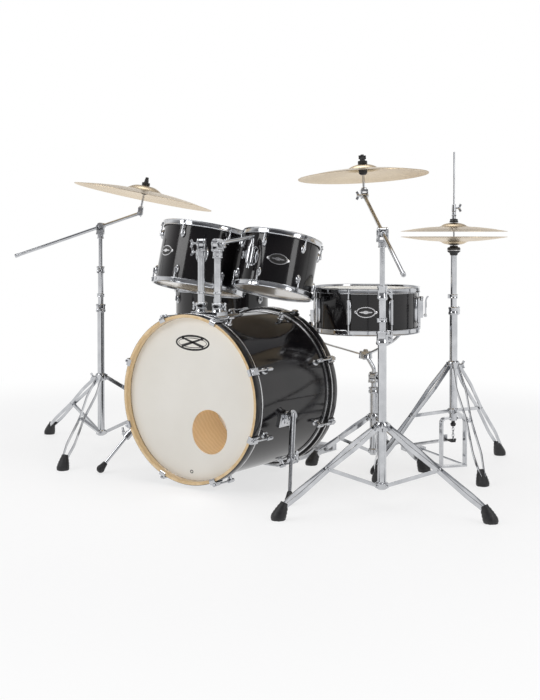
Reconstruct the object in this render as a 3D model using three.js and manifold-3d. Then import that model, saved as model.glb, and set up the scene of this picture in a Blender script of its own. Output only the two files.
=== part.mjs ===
// Five-piece acoustic drum kit with hi-hat, ride and crash. Millimetres, +Z up, the bass drum faces -Y.
// Positions are written from the floor point under the bass drum's centre; SHIFT moves them to the
// centre of the kit's footprint.
import * as THREE from 'three';
import { mergeVertices } from 'three/addons/utils/BufferGeometryUtils.js';
import Module from 'manifold-3d';

const wasm = await Module();
wasm.setup();

// ---- driving dimensions ----
const SHIFT = [54.924, -229.302];
const GAP = 0.4;
const ROUND = 24;
const WIDE = 32;

const BASS = {
  r: 254, wall: 7, half: 203, z: 277, lugs: 8, lugAt: 142,
  hoopR: 267, face: 226, hoopBack: 188, collar: 181,
};
const PORT = { x: 71, z: 180, r: 69 };
const SPUR = { x: 274, y: -50, z: 232, foot: [380, -217, 14] };
const POST = { x: 33, y: -115, r: 11, bottom: 470, pivot: 762 };
const BRACKET = { size: [116, 70, 24], z: 536, top: 575, r: 19 };

const TOM12 = {
  name: 'tom12', at: [-262, 178, 702], lean: 12.8, toward: 77, r: 152.4, depth: 203, post: -33, lug: 30,
};
const TOM10 = {
  name: 'tom10', at: [58, 180, 687], lean: 15, toward: 81, r: 127, depth: 178, post: 33, lug: 15,
};
const FLOOR_TOM = { at: [-458, 537, 403], r: 178, depth: 356, legR: 195, legs: [90, 210, 330] };
const SNARE = { at: [239, 452, 532.5], r: 178, depth: 140, side: 35.6 };

const SNARE_STAND = {
  at: [262, 469], legR: 232, legs: [229, 349, 109], hub: 40, shoulder: 157,
  tubeR: 14, bore: 11, top: 262, clamp: 240, upperR: 10, tilt: 300, plate: 375,
};
const HIHAT = {
  at: [526, 550], legR: 300, legs: [315, 82, 238], hub: 193, shoulder: 349,
  tubeR: 13.5, bore: 11, top: 545, clamp: 518, upperR: 10.5, cup: 724, cupTop: 753.6,
  bottomRim: 783, topRim: 800, rodTop: 1069, board: 143, cymbalR: 178, cymbalRise: 29,
};
const CRASH = {
  name: 'crash', at: [614, -83], legR: 345, legs: [242, 2, 122], hub: 64, shoulder: 235,
  collar2: [472, 512], collar1: [602, 644], pivot: 798,
  high: [434.5, 114.4, 912], low: [793.5, -280.4, 684],
  normal: [-0.076, 0.02, 0.997], cymbalR: 203, rise: 37,
};
const RIDE = {
  name: 'ride', at: [-682, 99], legR: 400, legs: [165, 295, 50], hub: 61, shoulder: 265,
  collar2: [504, 534], collar1: [647, 673], pivot: 818,
  high: [-563.7, 183.7, 868], low: [-938, -84, 710],
  normal: [0.137, 0.149, 0.979], cymbalR: 254, rise: 42,
};
const PEDAL = { axle: [0, 262, 190], shaft: 140, back: 40, swing: 52, heel: 548, toe: 286 };

// ---- finishes ----
const CHROME = { color: 0xc9ccd0, roughness: 0.16, metalness: 1 };
const STEEL = { color: 0xa9adb2, roughness: 0.35, metalness: 1 };
const LACQUER = { color: 0x0b0b0c, roughness: 0.12, metalness: 0 };
const FILM = { color: 0xe9e4d8, roughness: 0.5, metalness: 0 };
const CLEAR = { color: 0xc9b596, roughness: 0.25, metalness: 0 };
const BRONZE = { color: 0xc9a96a, roughness: 0.3, metalness: 1 };

const group = new THREE.Group();
const Y = new THREE.Vector3(0, 1, 0);
const UP = new THREE.Vector3(0, 0, 1);
const vec = (p) => (p instanceof THREE.Vector3 ? p.clone() : new THREE.Vector3(...p));
const along = (p, d, s) => vec(p).addScaledVector(vec(d), s);
const polar = (at, r, deg, z) => {
  const a = THREE.MathUtils.degToRad(deg);
  return new THREE.Vector3(at[0] + r * Math.cos(a), at[1] + r * Math.sin(a), z);
};
const heading = (deg) => polar([0, 0], 1, deg, 0);

// ---- shapes ----
function rod(p, q, r, sides = 8, r2 = r) {
  const a = vec(p);
  const b = vec(q);
  const d = b.clone().sub(a);
  const g = new THREE.CylinderGeometry(r2, r, d.length(), sides);
  g.applyQuaternion(new THREE.Quaternion().setFromUnitVectors(Y, d.clone().normalize()));
  g.translate((a.x + b.x) / 2, (a.y + b.y) / 2, (a.z + b.z) / 2);
  return g;
}

function ball(c, r) {
  const g = new THREE.SphereGeometry(r, 8, 4);
  const at = vec(c);
  g.translate(at.x, at.y, at.z);
  return g;
}

// A box with its sides along x, y and z directions of the given basis.
function slab(c, size, x = [1, 0, 0], z = [0, 0, 1]) {
  const zDir = vec(z).normalize();
  const xDir = vec(x).addScaledVector(zDir, -vec(x).dot(zDir)).normalize();
  const yDir = zDir.clone().cross(xDir);
  const m = new THREE.Matrix4().makeBasis(xDir, yDir, zDir).setPosition(vec(c));
  return new THREE.BoxGeometry(...size).applyMatrix4(m);
}

// A flat bar from p to q, w wide along the direction across and t thick.
function strap(p, q, w, t, across) {
  const a = vec(p);
  const b = vec(q);
  const d = b.clone().sub(a);
  return slab(a.add(b).multiplyScalar(0.5), [w, t, d.length() + t], across, d);
}

// A turned piece about the local Z axis; pairs are radius, height.
function turned(pairs, sides = ROUND) {
  const points = pairs.map(([r, z]) => new THREE.Vector2(r, z));
  if (pairs[0][0] > 0) {
    points.push(points[0].clone());
  }
  return new THREE.LatheGeometry(points, sides).rotateX(Math.PI / 2);
}

function frame(at, axis, x) {
  const z = vec(axis).normalize();
  const xDir = vec(x).addScaledVector(z, -vec(x).dot(z)).normalize();
  return new THREE.Matrix4().makeBasis(xDir, z.clone().cross(xDir), z).setPosition(vec(at));
}

// A welded closed mesh with outward faces, ready to be joined or cut.
function solid(geometry, m) {
  const bare = new THREE.BufferGeometry();
  bare.setAttribute('position', geometry.getAttribute('position').clone());
  if (geometry.index) {
    bare.setIndex([...geometry.index.array]);
  }
  bare.applyMatrix4(m);
  const welded = mergeVertices(bare, 1e-3);
  const at = welded.getAttribute('position').array;
  const tri = [];
  let volume = 0;
  for (let i = 0; i < welded.index.count; i += 3) {
    const [a, b, c] = welded.index.array.slice(i, i + 3);
    if (a !== b && b !== c && a !== c) {
      tri.push(a, b, c);
      const [p, q, s] = [a, b, c].map((k) => new THREE.Vector3().fromArray(at, 3 * k));
      volume += p.dot(q.cross(s));
    }
  }
  if (volume < 0) {
    tri.reverse();
  }
  const mesh = new wasm.Mesh({
    numProp: 3, vertProperties: new Float32Array(at), triVerts: new Uint32Array(tri),
  });
  return new wasm.Manifold(mesh);
}

function part(name, finish, adds, cuts = [], m = new THREE.Matrix4()) {
  let body = adds.map((g) => solid(g, m)).reduce((a, b) => a.add(b));
  for (const g of cuts) {
    body = body.subtract(solid(g, m));
  }
  const made = body.getMesh();
  const geometry = new THREE.BufferGeometry();
  const at = new Float32Array(made.numVert * 3);
  for (let i = 0; i < made.numVert; i += 1) {
    at.set(made.vertProperties.slice(i * made.numProp, i * made.numProp + 3), 3 * i);
  }
  geometry.setAttribute('position', new THREE.BufferAttribute(at, 3));
  geometry.setIndex([...made.triVerts]);
  geometry.translate(SHIFT[0], SHIFT[1], 0);
  geometry.computeVertexNormals();
  const mesh = new THREE.Mesh(geometry, new THREE.MeshStandardMaterial(finish));
  mesh.name = name;
  group.add(mesh);
}

// A wing screw pointing out of p along d.
function wing(p, d, length = 14) {
  const tip = along(p, d, length);
  const side = Math.abs(vec(d).z) > 0.9 ? [1, 0, 0] : UP;
  return [slab(along(p, d, length / 2), [6, 6, length], side, d), slab(tip, [30, 4, 11], side, d)];
}

// The two ears and the foot of a fork round a hub of radius r and half width half, at c on axis h.
function fork(c, h, r, half, up, drop) {
  const ear = 5;
  const reach = half + GAP + ear / 2;
  const pieces = [];
  for (const s of [-1, 1]) {
    const mid = along(c, h, s * reach);
    pieces.push(rod(along(mid, h, -ear / 2), along(mid, h, ear / 2), r, 8));
    pieces.push(slab(along(mid, up, -drop / 2), [ear, 2 * r, drop], h, up));
  }
  pieces.push(slab(along(c, up, -drop), [2 * reach + ear, 2 * r, 6], h, up));
  return pieces;
}

// ---- drums ----
// Steel hoop with its tension rods: a wall round the head, a lip over it and a rod down to each lug.
function drumHoop(name, m, r, edge, lugs, offset, s) {
  const outline = [[r + 4.4, -9], [r + 7, -9], [r + 9, 8], [r + 2, 8], [r + 2, 1.9], [r + 4.4, 1.9]];
  const adds = [turned(outline.map(([q, z]) => [q, s * (edge + z)]))];
  for (let i = 0; i < lugs; i += 1) {
    const deg = offset + (360 / lugs) * i;
    adds.push(slab(polar([0, 0], r + 8, deg, s * (edge - 17)), [6, 5, 25], heading(deg)));
  }
  part(name, CHROME, adds, [], m);
}

function drumHead(name, finish, m, r, edge, s) {
  const low = s * (edge + GAP);
  const high = s * (edge + 1.5);
  const disc = turned([[0, low], [r + 3.8, low], [r + 3.8, high], [0, high]]);
  part(name, finish, [disc], [], m);
}

function shellRing(r, wall, half, sides = ROUND) {
  return turned([[r - wall, -half], [r, -half], [r, half], [r - wall, half]], sides);
}

function shortLugs(r, edge, lugs, offset) {
  const adds = [];
  for (let i = 0; i < lugs; i += 1) {
    const deg = offset + (360 / lugs) * i;
    for (const s of [-1, 1]) {
      const z = s * (edge - 38);
      adds.push(slab(polar([0, 0], r + 6, deg, z), [16, 14, 16], heading(deg)));
    }
  }
  return adds;
}

function mountedTom(t) {
  const a = THREE.MathUtils.degToRad(t.lean);
  const axis = heading(t.toward).multiplyScalar(Math.sin(a)).addScaledVector(UP, Math.cos(a));
  const pivot = new THREE.Vector3(t.post, POST.y, POST.pivot);
  const m = frame(t.at, axis, pivot.clone().sub(vec(t.at)));
  const edge = t.depth / 2;
  const stem = t.r + 18;
  const shell = [shellRing(t.r, 6, edge), ...shortLugs(t.r, edge, 6, t.lug)];
  shell.push(slab([t.r + 14, 0, 0], [32, 34, 50]));
  shell.push(...wing([t.r + 12, -16, 0], [0, -1, 0], 16));
  part(`${t.name}_shell`, LACQUER, shell, [rod([stem, 0, -60], [stem, 0, 60], 7, 8)], m);
  drumHoop(`${t.name}_batter_hoop`, m, t.r, edge, 6, t.lug, 1);
  drumHoop(`${t.name}_resonant_hoop`, m, t.r, edge, 6, t.lug, -1);
  drumHead(`${t.name}_batter_head`, FILM, m, t.r, edge, 1);
  drumHead(`${t.name}_resonant_head`, CLEAR, m, t.r, edge, -1);

  const bend = new THREE.Vector3(stem, 0, 60).applyMatrix4(m);
  const end = new THREE.Vector3(stem, 0, -45).applyMatrix4(m);
  const reach = bend.clone().sub(pivot);
  const flat = reach.clone().setZ(0).normalize();
  const h = UP.clone().cross(flat);
  part(`${t.name}_arm`, CHROME, [
    rod(along(pivot, h, -8), along(pivot, h, 8), 15, 8),
    rod(pivot, along(bend, flat, 5), 6, 8),
    rod(bend, end, 6, 8),
  ]);
  part(`${t.name}_post`, CHROME, [
    rod([t.post, POST.y, POST.bottom], [t.post, POST.y, POST.pivot - 19], POST.r, 12),
    rod([t.post, POST.y, POST.pivot - 46], [t.post, POST.y, POST.pivot - 20], 17, 8),
    ...fork(pivot, h, 16, 8, UP, 20),
    ...wing(along(pivot, h, 12 * Math.sign(-t.post)), along([0, 0, 0], h, Math.sign(-t.post)), 18),
  ]);
}

// ---- bass drum ----
const bassFrame = frame([0, 0, BASS.z], [0, -1, 0], [1, 0, 0]);
const bassLug = (i) => 22.5 + (360 / BASS.lugs) * i;
const SPUR_AXIS = [0.904, 0, 0.428];

function bassDrum() {
  const shell = [shellRing(BASS.r, BASS.wall, BASS.half, WIDE)];
  for (let i = 0; i < BASS.lugs; i += 1) {
    for (const s of [-1, 1]) {
      const p = (r) => polar([0, 0], r, bassLug(i), s * BASS.lugAt);
      shell.push(rod(p(BASS.r - 3), p(BASS.r + 26), 10, 6, 8));
    }
  }
  const inverse = bassFrame.clone().invert();
  for (const s of [-1, 1]) {
    const c = new THREE.Vector3(s * SPUR.x, SPUR.y, SPUR.z);
    const out = new THREE.Vector3(s * SPUR_AXIS[0], 0, SPUR_AXIS[2]);
    shell.push(rod(along(c, out, -34), along(c, out, -6.4), 17, 8).applyMatrix4(inverse));
  }
  const cuts = [rod([0, 0, -190], [0, 0, 190], BASS.r - BASS.wall - 0.01, WIDE)];
  // Post tubes drop through holes in the shell.
  for (const s of [-1, 1]) {
    cuts.push(rod([s * POST.x, 200, -POST.y], [s * POST.x, 280, -POST.y], POST.r + 1.5, 12));
  }
  part('bass_shell', LACQUER, shell, cuts, bassFrame);

  for (const [name, s] of [['front', 1], ['rear', -1]]) {
    const outline = [
      [BASS.hoopR - 11.5, BASS.face],
      [BASS.hoopR, BASS.face],
      [BASS.hoopR, BASS.hoopBack],
      [BASS.hoopR - 7.5, BASS.hoopBack],
      [BASS.hoopR - 7.5, BASS.half + 2.2],
      [BASS.hoopR - 11.5, BASS.half + 2.2],
    ];
    const adds = [turned(outline.map(([r, z]) => [r, s * z]), WIDE)];
    for (let i = 0; i < BASS.lugs; i += 1) {
      const deg = bassLug(i);
      adds.push(slab(polar([0, 0], BASS.hoopR + 5, deg, s * (BASS.face - 18)), [14, 20, 40], heading(deg)));
      adds.push(slab(polar([0, 0], BASS.hoopR + 8, deg, s * 192), [6, 6, 79], heading(deg)));
    }
    part(`bass_${name}_hoop`, LACQUER, adds, [], bassFrame);
  }
  const film = [
    [0, BASS.half + GAP],
    [BASS.r + 0.8, BASS.half + GAP],
    [BASS.r + 0.8, BASS.collar],
    [BASS.r + 4.6, BASS.collar],
    [BASS.r + 4.6, BASS.half + 1.6],
    [0, BASS.half + 1.6],
  ];
  const head = (s) => turned(film.map(([r, z]) => [r, s * z]), WIDE);
  const drop = PORT.z - BASS.z;
  const hole = rod([PORT.x, drop, 190], [PORT.x, drop, 215], PORT.r, 24);
  part('bass_front_head', FILM, [head(1)], [hole], bassFrame);
  part('bass_batter_head', FILM, [head(-1)], [], bassFrame);
}

function tomBracket() {
  const adds = [slab([0, POST.y, BRACKET.z], BRACKET.size)];
  const cuts = [rod([0, -300, BASS.z], [0, 300, BASS.z], BASS.r + GAP + 0.4, WIDE)];
  for (const s of [-1, 1]) {
    adds.push(rod([s * POST.x, POST.y, BRACKET.z + 4], [s * POST.x, POST.y, BRACKET.top], BRACKET.r, 12));
    adds.push(...wing([s * (POST.x + 14), POST.y, 562], [s, 0, 0], 16));
    cuts.push(rod([s * POST.x, POST.y, 500], [s * POST.x, POST.y, 600], POST.r + GAP, 12));
  }
  part('tom_bracket', CHROME, adds, cuts);
}

function spur(name, s) {
  const c = new THREE.Vector3(s * SPUR.x, SPUR.y, SPUR.z);
  const out = new THREE.Vector3(s * SPUR_AXIS[0], 0, SPUR_AXIS[2]);
  const foot = new THREE.Vector3(s * SPUR.foot[0], SPUR.foot[1], SPUR.foot[2]);
  const root = along(c, out, 5);
  const d = foot.clone().sub(root).normalize();
  const knee = along(root, d, 165);
  part(name, CHROME, [
    rod(along(c, out, -6), along(c, out, 10), 15, 8),
    rod(root, knee, 9.5, 8),
    rod(knee, foot, 5.5, 6),
    rod(along(knee, d, -22), knee, 12.5, 8),
    ...wing(along(knee, d, -11), out, 24),
    ball(foot, 14),
  ]);
}

// ---- floor tom ----
function floorTom() {
  const m = frame(FLOOR_TOM.at, [0, 0, 1], [1, 0, 0]);
  const edge = FLOOR_TOM.depth / 2;
  const shell = [shellRing(FLOOR_TOM.r, 6, edge), ...shortLugs(FLOOR_TOM.r, edge, 6, 0)];
  const cuts = [];
  for (const deg of FLOOR_TOM.legs) {
    shell.push(slab(polar([0, 0], FLOOR_TOM.r + 13, deg, -45), [30, 34, 46], heading(deg)));
    shell.push(...wing(polar([0, 0], FLOOR_TOM.r + 26, deg, -45), heading(deg), 14));
    cuts.push(rod(polar([0, 0], FLOOR_TOM.legR, deg, -90), polar([0, 0], FLOOR_TOM.legR, deg, 0), 5.4, 8));
  }
  part('floor_tom_shell', LACQUER, shell, cuts, m);
  drumHoop('floor_tom_batter_hoop', m, FLOOR_TOM.r, edge, 6, 0, 1);
  drumHoop('floor_tom_resonant_hoop', m, FLOOR_TOM.r, edge, 6, 0, -1);
  drumHead('floor_tom_batter_head', FILM, m, FLOOR_TOM.r, edge, 1);
  drumHead('floor_tom_resonant_head', CLEAR, m, FLOOR_TOM.r, edge, -1);
  FLOOR_TOM.legs.forEach((deg, i) => {
    const p = (z) => polar(FLOOR_TOM.at, FLOOR_TOM.legR, deg, z);
    part(`floor_tom_leg_${i + 1}`, CHROME, [rod(p(30), p(470), 5, 8), rod(p(0), p(46), 15, 12, 9)]);
  });
}

// ---- snare drum ----
function snareDrum() {
  const m = frame(SNARE.at, [0, 0, 1], heading(SNARE.side));
  const edge = SNARE.depth / 2;
  const shell = [shellRing(SNARE.r, 5, edge)];
  for (let i = 0; i < 8; i += 1) {
    const deg = 22.5 + 45 * i;
    const p = (z) => polar([0, 0], SNARE.r + 4, deg, z);
    shell.push(rod(p(-40), p(40), 7, 6));
  }
  shell.push(slab([SNARE.r + 9, 0, 0], [22, 28, 62]), slab([-SNARE.r - 7, 0, -22], [18, 30, 40]));
  shell.push(rod([SNARE.r + 14, 0, 26], [SNARE.r + 14, 0, 44], 7, 8));
  part('snare_shell', LACQUER, shell, [], m);
  drumHoop('snare_batter_hoop', m, SNARE.r, edge, 8, 22.5, 1);
  drumHoop('snare_resonant_hoop', m, SNARE.r, edge, 8, 22.5, -1);
  drumHead('snare_batter_head', FILM, m, SNARE.r, edge, 1);
  drumHead('snare_resonant_head', CLEAR, m, SNARE.r, edge, -1);
  const hinge = [SNARE.r + 28, 0, -22];
  part('snare_strainer_lever', CHROME, [
    rod(along(hinge, [0, 1, 0], -9), along(hinge, [0, 1, 0], 9), 6, 10),
    slab([SNARE.r + 29, 0, 8], [5, 14, 64]), slab([SNARE.r + 34, 0, 38], [14, 20, 6]),
  ], [], m);
}

// ---- stands ----
// One double-braced leg: two bars that spread from the shoulder, pinch at the brace and spread again
// down to the foot, with a strut from the hub to the brace pin.
function leg(at, deg, reach, shoulder, hub) {
  const out = heading(deg);
  const side = UP.clone().cross(out);
  const p = (r, z, w) => polar(at, r, deg, z).addScaledVector(side, w);
  const slope = (shoulder - 20) / (reach - 18);
  const z = (r) => shoulder - slope * (r - 18);
  const mid = 18 + 0.5 * (reach - 18);
  const down = p(reach, 20, 0).sub(p(18, shoulder, 0));
  const length = down.length();
  const place = frame(p(18, shoulder, 0), side.clone().cross(down), down);
  const knots = [[0, 9], [0.22, 16], [0.5, 8], [0.78, 14], [0.98, 6]];
  const pieces = [];
  for (const s of [-1, 1]) {
    const outer = knots.map(([f, w]) => new THREE.Vector2(f * length, s * (w + 1.6)));
    const inner = knots.map(([f, w]) => new THREE.Vector2(f * length, s * (w - 1.6))).reverse();
    const outline = new THREE.Shape([...outer, ...inner]);
    const bar = new THREE.ExtrudeGeometry(outline, { depth: 13, bevelEnabled: false });
    pieces.push(bar.translate(0, 0, -6.5).applyMatrix4(place));
  }
  pieces.push(strap(p(16, hub, 0), p(mid, z(mid), 0), 9, 7, side));
  pieces.push(slab(p(mid, z(mid), 0), [22, 7, 7], side));
  pieces.push(rod(p(reach - 8, 0, 0), p(reach - 8, 42, 0), 19, 8, 11));
  return pieces;
}

// Legs round one turned column: hub and shoulder castings, and a clamp collar at the open top.
function tripod(s, tubeR, bore, bottom, collar, collarR) {
  const [c0, c1] = collar;
  const ring = (z0, z1, r) => [[tubeR, z0], [r, z0], [r, z1], [tubeR, z1]];
  const outline = [
    [bore, bottom],
    [tubeR, bottom],
    ...ring(s.hub - 9, s.hub + 9, 19),
    ...ring(s.shoulder - 12, s.shoulder + 14, 21),
    [tubeR, c0],
    [collarR, c0],
    [collarR, c1],
    [bore, c1],
  ];
  const m = new THREE.Matrix4().setPosition(s.at[0], s.at[1], 0);
  const pieces = [turned(outline, 12).applyMatrix4(m)];
  const turn = s.legs[0] + 60;
  pieces.push(...wing(polar(s.at, 19, turn, s.shoulder + 2), heading(turn)));
  pieces.push(...wing(polar(s.at, collarR - 2, s.legs[1], (c0 + c1) / 2), heading(s.legs[1])));
  for (const deg of s.legs) {
    pieces.push(...leg(s.at, deg, s.legR, s.shoulder, s.hub));
  }
  return pieces;
}

function snareStand() {
  const s = SNARE_STAND;
  part('snare_stand_base', CHROME, tripod(s, s.tubeR, s.bore, 26, [s.clamp, s.top], 19));
  const pivot = new THREE.Vector3(s.at[0], s.at[1], s.tilt);
  part('snare_stand_tube', CHROME, [
    rod([...s.at, 130], [...s.at, s.tilt - 17], s.upperR, 12), ...fork(pivot, [1, 0, 0], 14, 9, UP, 19),
    ...wing([s.at[0] + 13, s.at[1], s.tilt], [1, 0, 0]),
  ]);
  const plate = new THREE.Vector3(SNARE.at[0], SNARE.at[1], s.plate);
  const neck = along(pivot, UP, 26);
  const basket = [
    rod(along(pivot, [1, 0, 0], -9), along(pivot, [1, 0, 0], 9), 13, 8),
    rod(pivot, neck, 7.5, 6),
    rod(along(neck, UP, -3), plate, 8, 6),
    rod(along(plate, UP, -14), along(plate, UP, 12), 24, 8),
  ];
  for (const deg of [80, 200, 320]) {
    const p = (r, z) => polar(SNARE.at, r, deg, z);
    const side = UP.clone().cross(heading(deg));
    basket.push(strap(p(14, s.plate), p(140, 408), 12, 7, side));
    basket.push(strap(p(140, 408), p(196, 438), 12, 7, side));
    basket.push(rod(p(196.6, 434), p(196.6, 484), 6, 6));
  }
  part('snare_basket', CHROME, basket);
}

// A bowed and belled bronze disc with a centre hole; s is -1 for one that faces down.
function cymbal(name, m, r, rise, bell, s) {
  const line = [[5.5, rise], [bell * 0.5, rise - 2.5], [bell, rise * 0.56]];
  line.push([bell + (r - bell) * 0.45, rise * 0.38], [r, 0]);
  const under = line.map(([q, z]) => [q, s * z]);
  const over = line.map(([q, z]) => [q, s * (z + 1.5)]).reverse();
  part(name, BRONZE, [turned([...under, ...over], 30)], [], m);
}

function hihat() {
  const s = HIHAT;
  const k = heading(s.board);
  const side = UP.clone().cross(k);
  const p = (r, w, z) => polar(s.at, r, s.board, z).addScaledVector(side, w);
  const pieces = tripod(s, s.tubeR, s.bore, 160, [s.clamp, s.top], 18);
  for (const w of [-1, 1]) {
    pieces.push(slab(p(0, w * 30, 166), [26, 36, 12], k));
    pieces.push(slab(p(0, w * 44, 86), [26, 8, 168], k));
    pieces.push(strap(p(0, w * 44, 5), p(330, w * 26, 5), 9, 6, side));
  }
  pieces.push(slab(p(0, 0, 5), [30, 96, 8], k));
  pieces.push(slab(p(322, 0, 7), [44, 84, 12], k));
  part('hihat_base', CHROME, pieces);
  part('hihat_pedal', STEEL, [
    strap(p(286, 0, 27), p(46, 0, 84), 70, 6, side),
    slab(p(60, 0, 92), [6, 16, 18], k),
  ]);
  const m = new THREE.Matrix4().setPosition(s.at[0], s.at[1], 0);
  const tube = [[4, 400], [s.upperR, 400], [s.upperR, s.cup], [20, s.cup + 3]];
  tube.push([22, s.cupTop - 3], [14, s.cupTop], [4, s.cupTop]);
  part('hihat_tube', CHROME, [turned(tube, 12)], [], m);
  const clutch = s.topRim + s.cymbalRise;
  part('hihat_rod', CHROME, [
    rod([...s.at, 178], [...s.at, s.rodTop], 3, 8),
    rod([...s.at, clutch - 12], [...s.at, clutch - 1.4], 10, 8),
    rod([...s.at, clutch + 2], [...s.at, clutch + 14], 15, 12),
    rod([...s.at, clutch + 14], [...s.at, 892], 7.5, 10),
    ...wing([s.at[0] + 5, s.at[1], 880], heading(20)),
  ]);
  const rim = (z) => new THREE.Matrix4().setPosition(s.at[0], s.at[1], z);
  cymbal('hihat_bottom_cymbal', rim(s.bottomRim), s.cymbalR, s.cymbalRise - 1.5, 48, -1);
  cymbal('hihat_top_cymbal', rim(s.topRim), s.cymbalR, s.cymbalRise, 48, 1);
}

function boomStand(s) {
  part(`${s.name}_base`, CHROME, tripod(s, 12.7, 10.6, s.hub - 12, s.collar2, 18));

  const m = new THREE.Matrix4().setPosition(s.at[0], s.at[1], 0);
  const [low, high] = s.collar1;
  const mid = [[8, s.collar2[0] - 120], [10, s.collar2[0] - 120], [10, low], [15, low + 2]];
  mid.push([15, high], [8, high]);
  const mz = (low + high) / 2;
  part(`${s.name}_mid_tube`, CHROME, [
    turned(mid, 12).applyMatrix4(m), ...wing(polar(s.at, 13, s.legs[1], mz), heading(s.legs[1])),
  ]);

  const pivot = new THREE.Vector3(s.at[0], s.at[1], s.pivot);
  const d = vec(s.high).sub(pivot).normalize();
  const flat = d.clone().setZ(0).normalize();
  const h = UP.clone().cross(flat);
  part(`${s.name}_top_tube`, CHROME, [
    rod([...s.at, s.collar1[0] - 130], [...s.at, s.pivot - 22], 7.5, 12),
    rod([...s.at, s.pivot - 44], [...s.at, s.pivot - 24], 13, 12), ...fork(pivot, h, 15, 10, UP, 25),
  ]);
  const end = vec(s.high);
  part(`${s.name}_boom`, CHROME, [
    rod(along(pivot, h, -10), along(pivot, h, 10), 14, 8),
    rod(s.low, end, 6, 8),
    rod(along(end, h, -6), along(end, h, 6), 9, 8),
  ]);
  const n = vec(s.normal).normalize();
  const centre = along(end, n, 59);
  const post = (a, b, r, sides = 8, r2 = r) => rod(along(centre, n, a), along(centre, n, b), r, sides, r2);
  part(`${s.name}_tilter`, CHROME, [
    ...fork(end, h, 10, 6, n.clone().negate(), 16),
    post(-42, s.rise + 31, 4, 6),
    post(-44, -34, 9),
    post(s.rise - 16, s.rise - 1.8, 10, 8, 14),
    post(s.rise + 1.5 + GAP, s.rise + 13, 15),
    post(s.rise + 13, s.rise + 33, 7, 8, 5),
    ...wing(along(end, h, 9), h, 12),
  ]);
  cymbal(`${s.name}_cymbal`, frame(centre, n, [1, 0, 0]), s.cymbalR, s.rise, s.cymbalR * 0.27, 1);
}

// ---- bass drum pedal ----
function bassPedal() {
  const [x, y, z] = PEDAL.axle;
  const base = [slab([0, 392, 3], [80, 374, 6]), slab([0, 566, 14], [80, 28, 20])];
  for (const s of [-1, 1]) {
    base.push(slab([s * 38, y, 104], [8, 24, 204]));
  }
  part('pedal_base', STEEL, base);
  part('pedal_footboard', STEEL, [
    strap([0, PEDAL.heel - 14, 27], [0, PEDAL.toe, 72], 62, 5, [1, 0, 0]),
    slab([0, PEDAL.toe + 6, 80], [14, 6, 16]),
  ]);
  const a = THREE.MathUtils.degToRad(PEDAL.back);
  const tip = new THREE.Vector3(x, y + PEDAL.shaft * Math.sin(a), z + PEDAL.shaft * Math.cos(a));
  const b = THREE.MathUtils.degToRad(PEDAL.swing);
  const strike = new THREE.Vector3(0, -Math.cos(b), Math.sin(b));
  part('pedal_beater', STEEL, [
    rod([-33.5, y, z], [33.5, y, z], 7, 10),
    rod([-5, y, z], [5, y, z], 20, 12),
    rod([x, y, z], tip, 4, 8),
    rod(along(tip, strike, -22), along(tip, strike, 22), 20, 14, 22),
  ]);
}

bassDrum();
tomBracket();
spur('spur_right', 1);
spur('spur_left', -1);
mountedTom(TOM12);
mountedTom(TOM10);
floorTom();
snareDrum();
snareStand();
hihat();
boomStand(RIDE);
boomStand(CRASH);
bassPedal();

export default group;
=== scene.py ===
import math
import bmesh
import bpy
from mathutils import Matrix, Vector


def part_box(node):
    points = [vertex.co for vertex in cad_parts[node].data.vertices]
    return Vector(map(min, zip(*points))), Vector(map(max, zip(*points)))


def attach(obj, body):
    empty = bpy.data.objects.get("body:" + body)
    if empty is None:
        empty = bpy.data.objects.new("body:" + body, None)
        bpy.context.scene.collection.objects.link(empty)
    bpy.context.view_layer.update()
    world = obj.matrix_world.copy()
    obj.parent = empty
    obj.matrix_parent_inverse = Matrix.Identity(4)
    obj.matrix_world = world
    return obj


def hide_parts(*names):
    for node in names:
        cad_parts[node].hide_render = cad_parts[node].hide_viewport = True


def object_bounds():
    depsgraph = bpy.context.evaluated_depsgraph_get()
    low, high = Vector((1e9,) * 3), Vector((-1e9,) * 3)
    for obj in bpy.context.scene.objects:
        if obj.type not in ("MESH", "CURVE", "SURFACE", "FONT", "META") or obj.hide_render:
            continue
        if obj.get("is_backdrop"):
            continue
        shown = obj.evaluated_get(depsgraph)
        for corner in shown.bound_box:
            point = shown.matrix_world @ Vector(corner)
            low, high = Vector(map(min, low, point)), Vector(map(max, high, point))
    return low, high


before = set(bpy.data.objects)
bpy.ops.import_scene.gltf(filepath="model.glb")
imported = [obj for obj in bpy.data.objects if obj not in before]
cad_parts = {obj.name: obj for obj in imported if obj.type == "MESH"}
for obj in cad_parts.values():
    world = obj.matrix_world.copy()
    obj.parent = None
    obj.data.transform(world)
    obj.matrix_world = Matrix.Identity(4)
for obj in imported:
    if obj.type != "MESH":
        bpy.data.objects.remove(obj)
cad_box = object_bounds()

# Lengths below are millimetres from the floor point under the bass drum, until they become meshes.
MM = 0.001
UP = Vector((0, 0, 1))
X = Vector((1, 0, 0))
Y = Vector((0, 1, 0))
_low, _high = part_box("bass_shell")
ORIGIN = Vector(((_low.x + _high.x) / 2, (_low.y + _high.y) / 2, 0))

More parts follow.
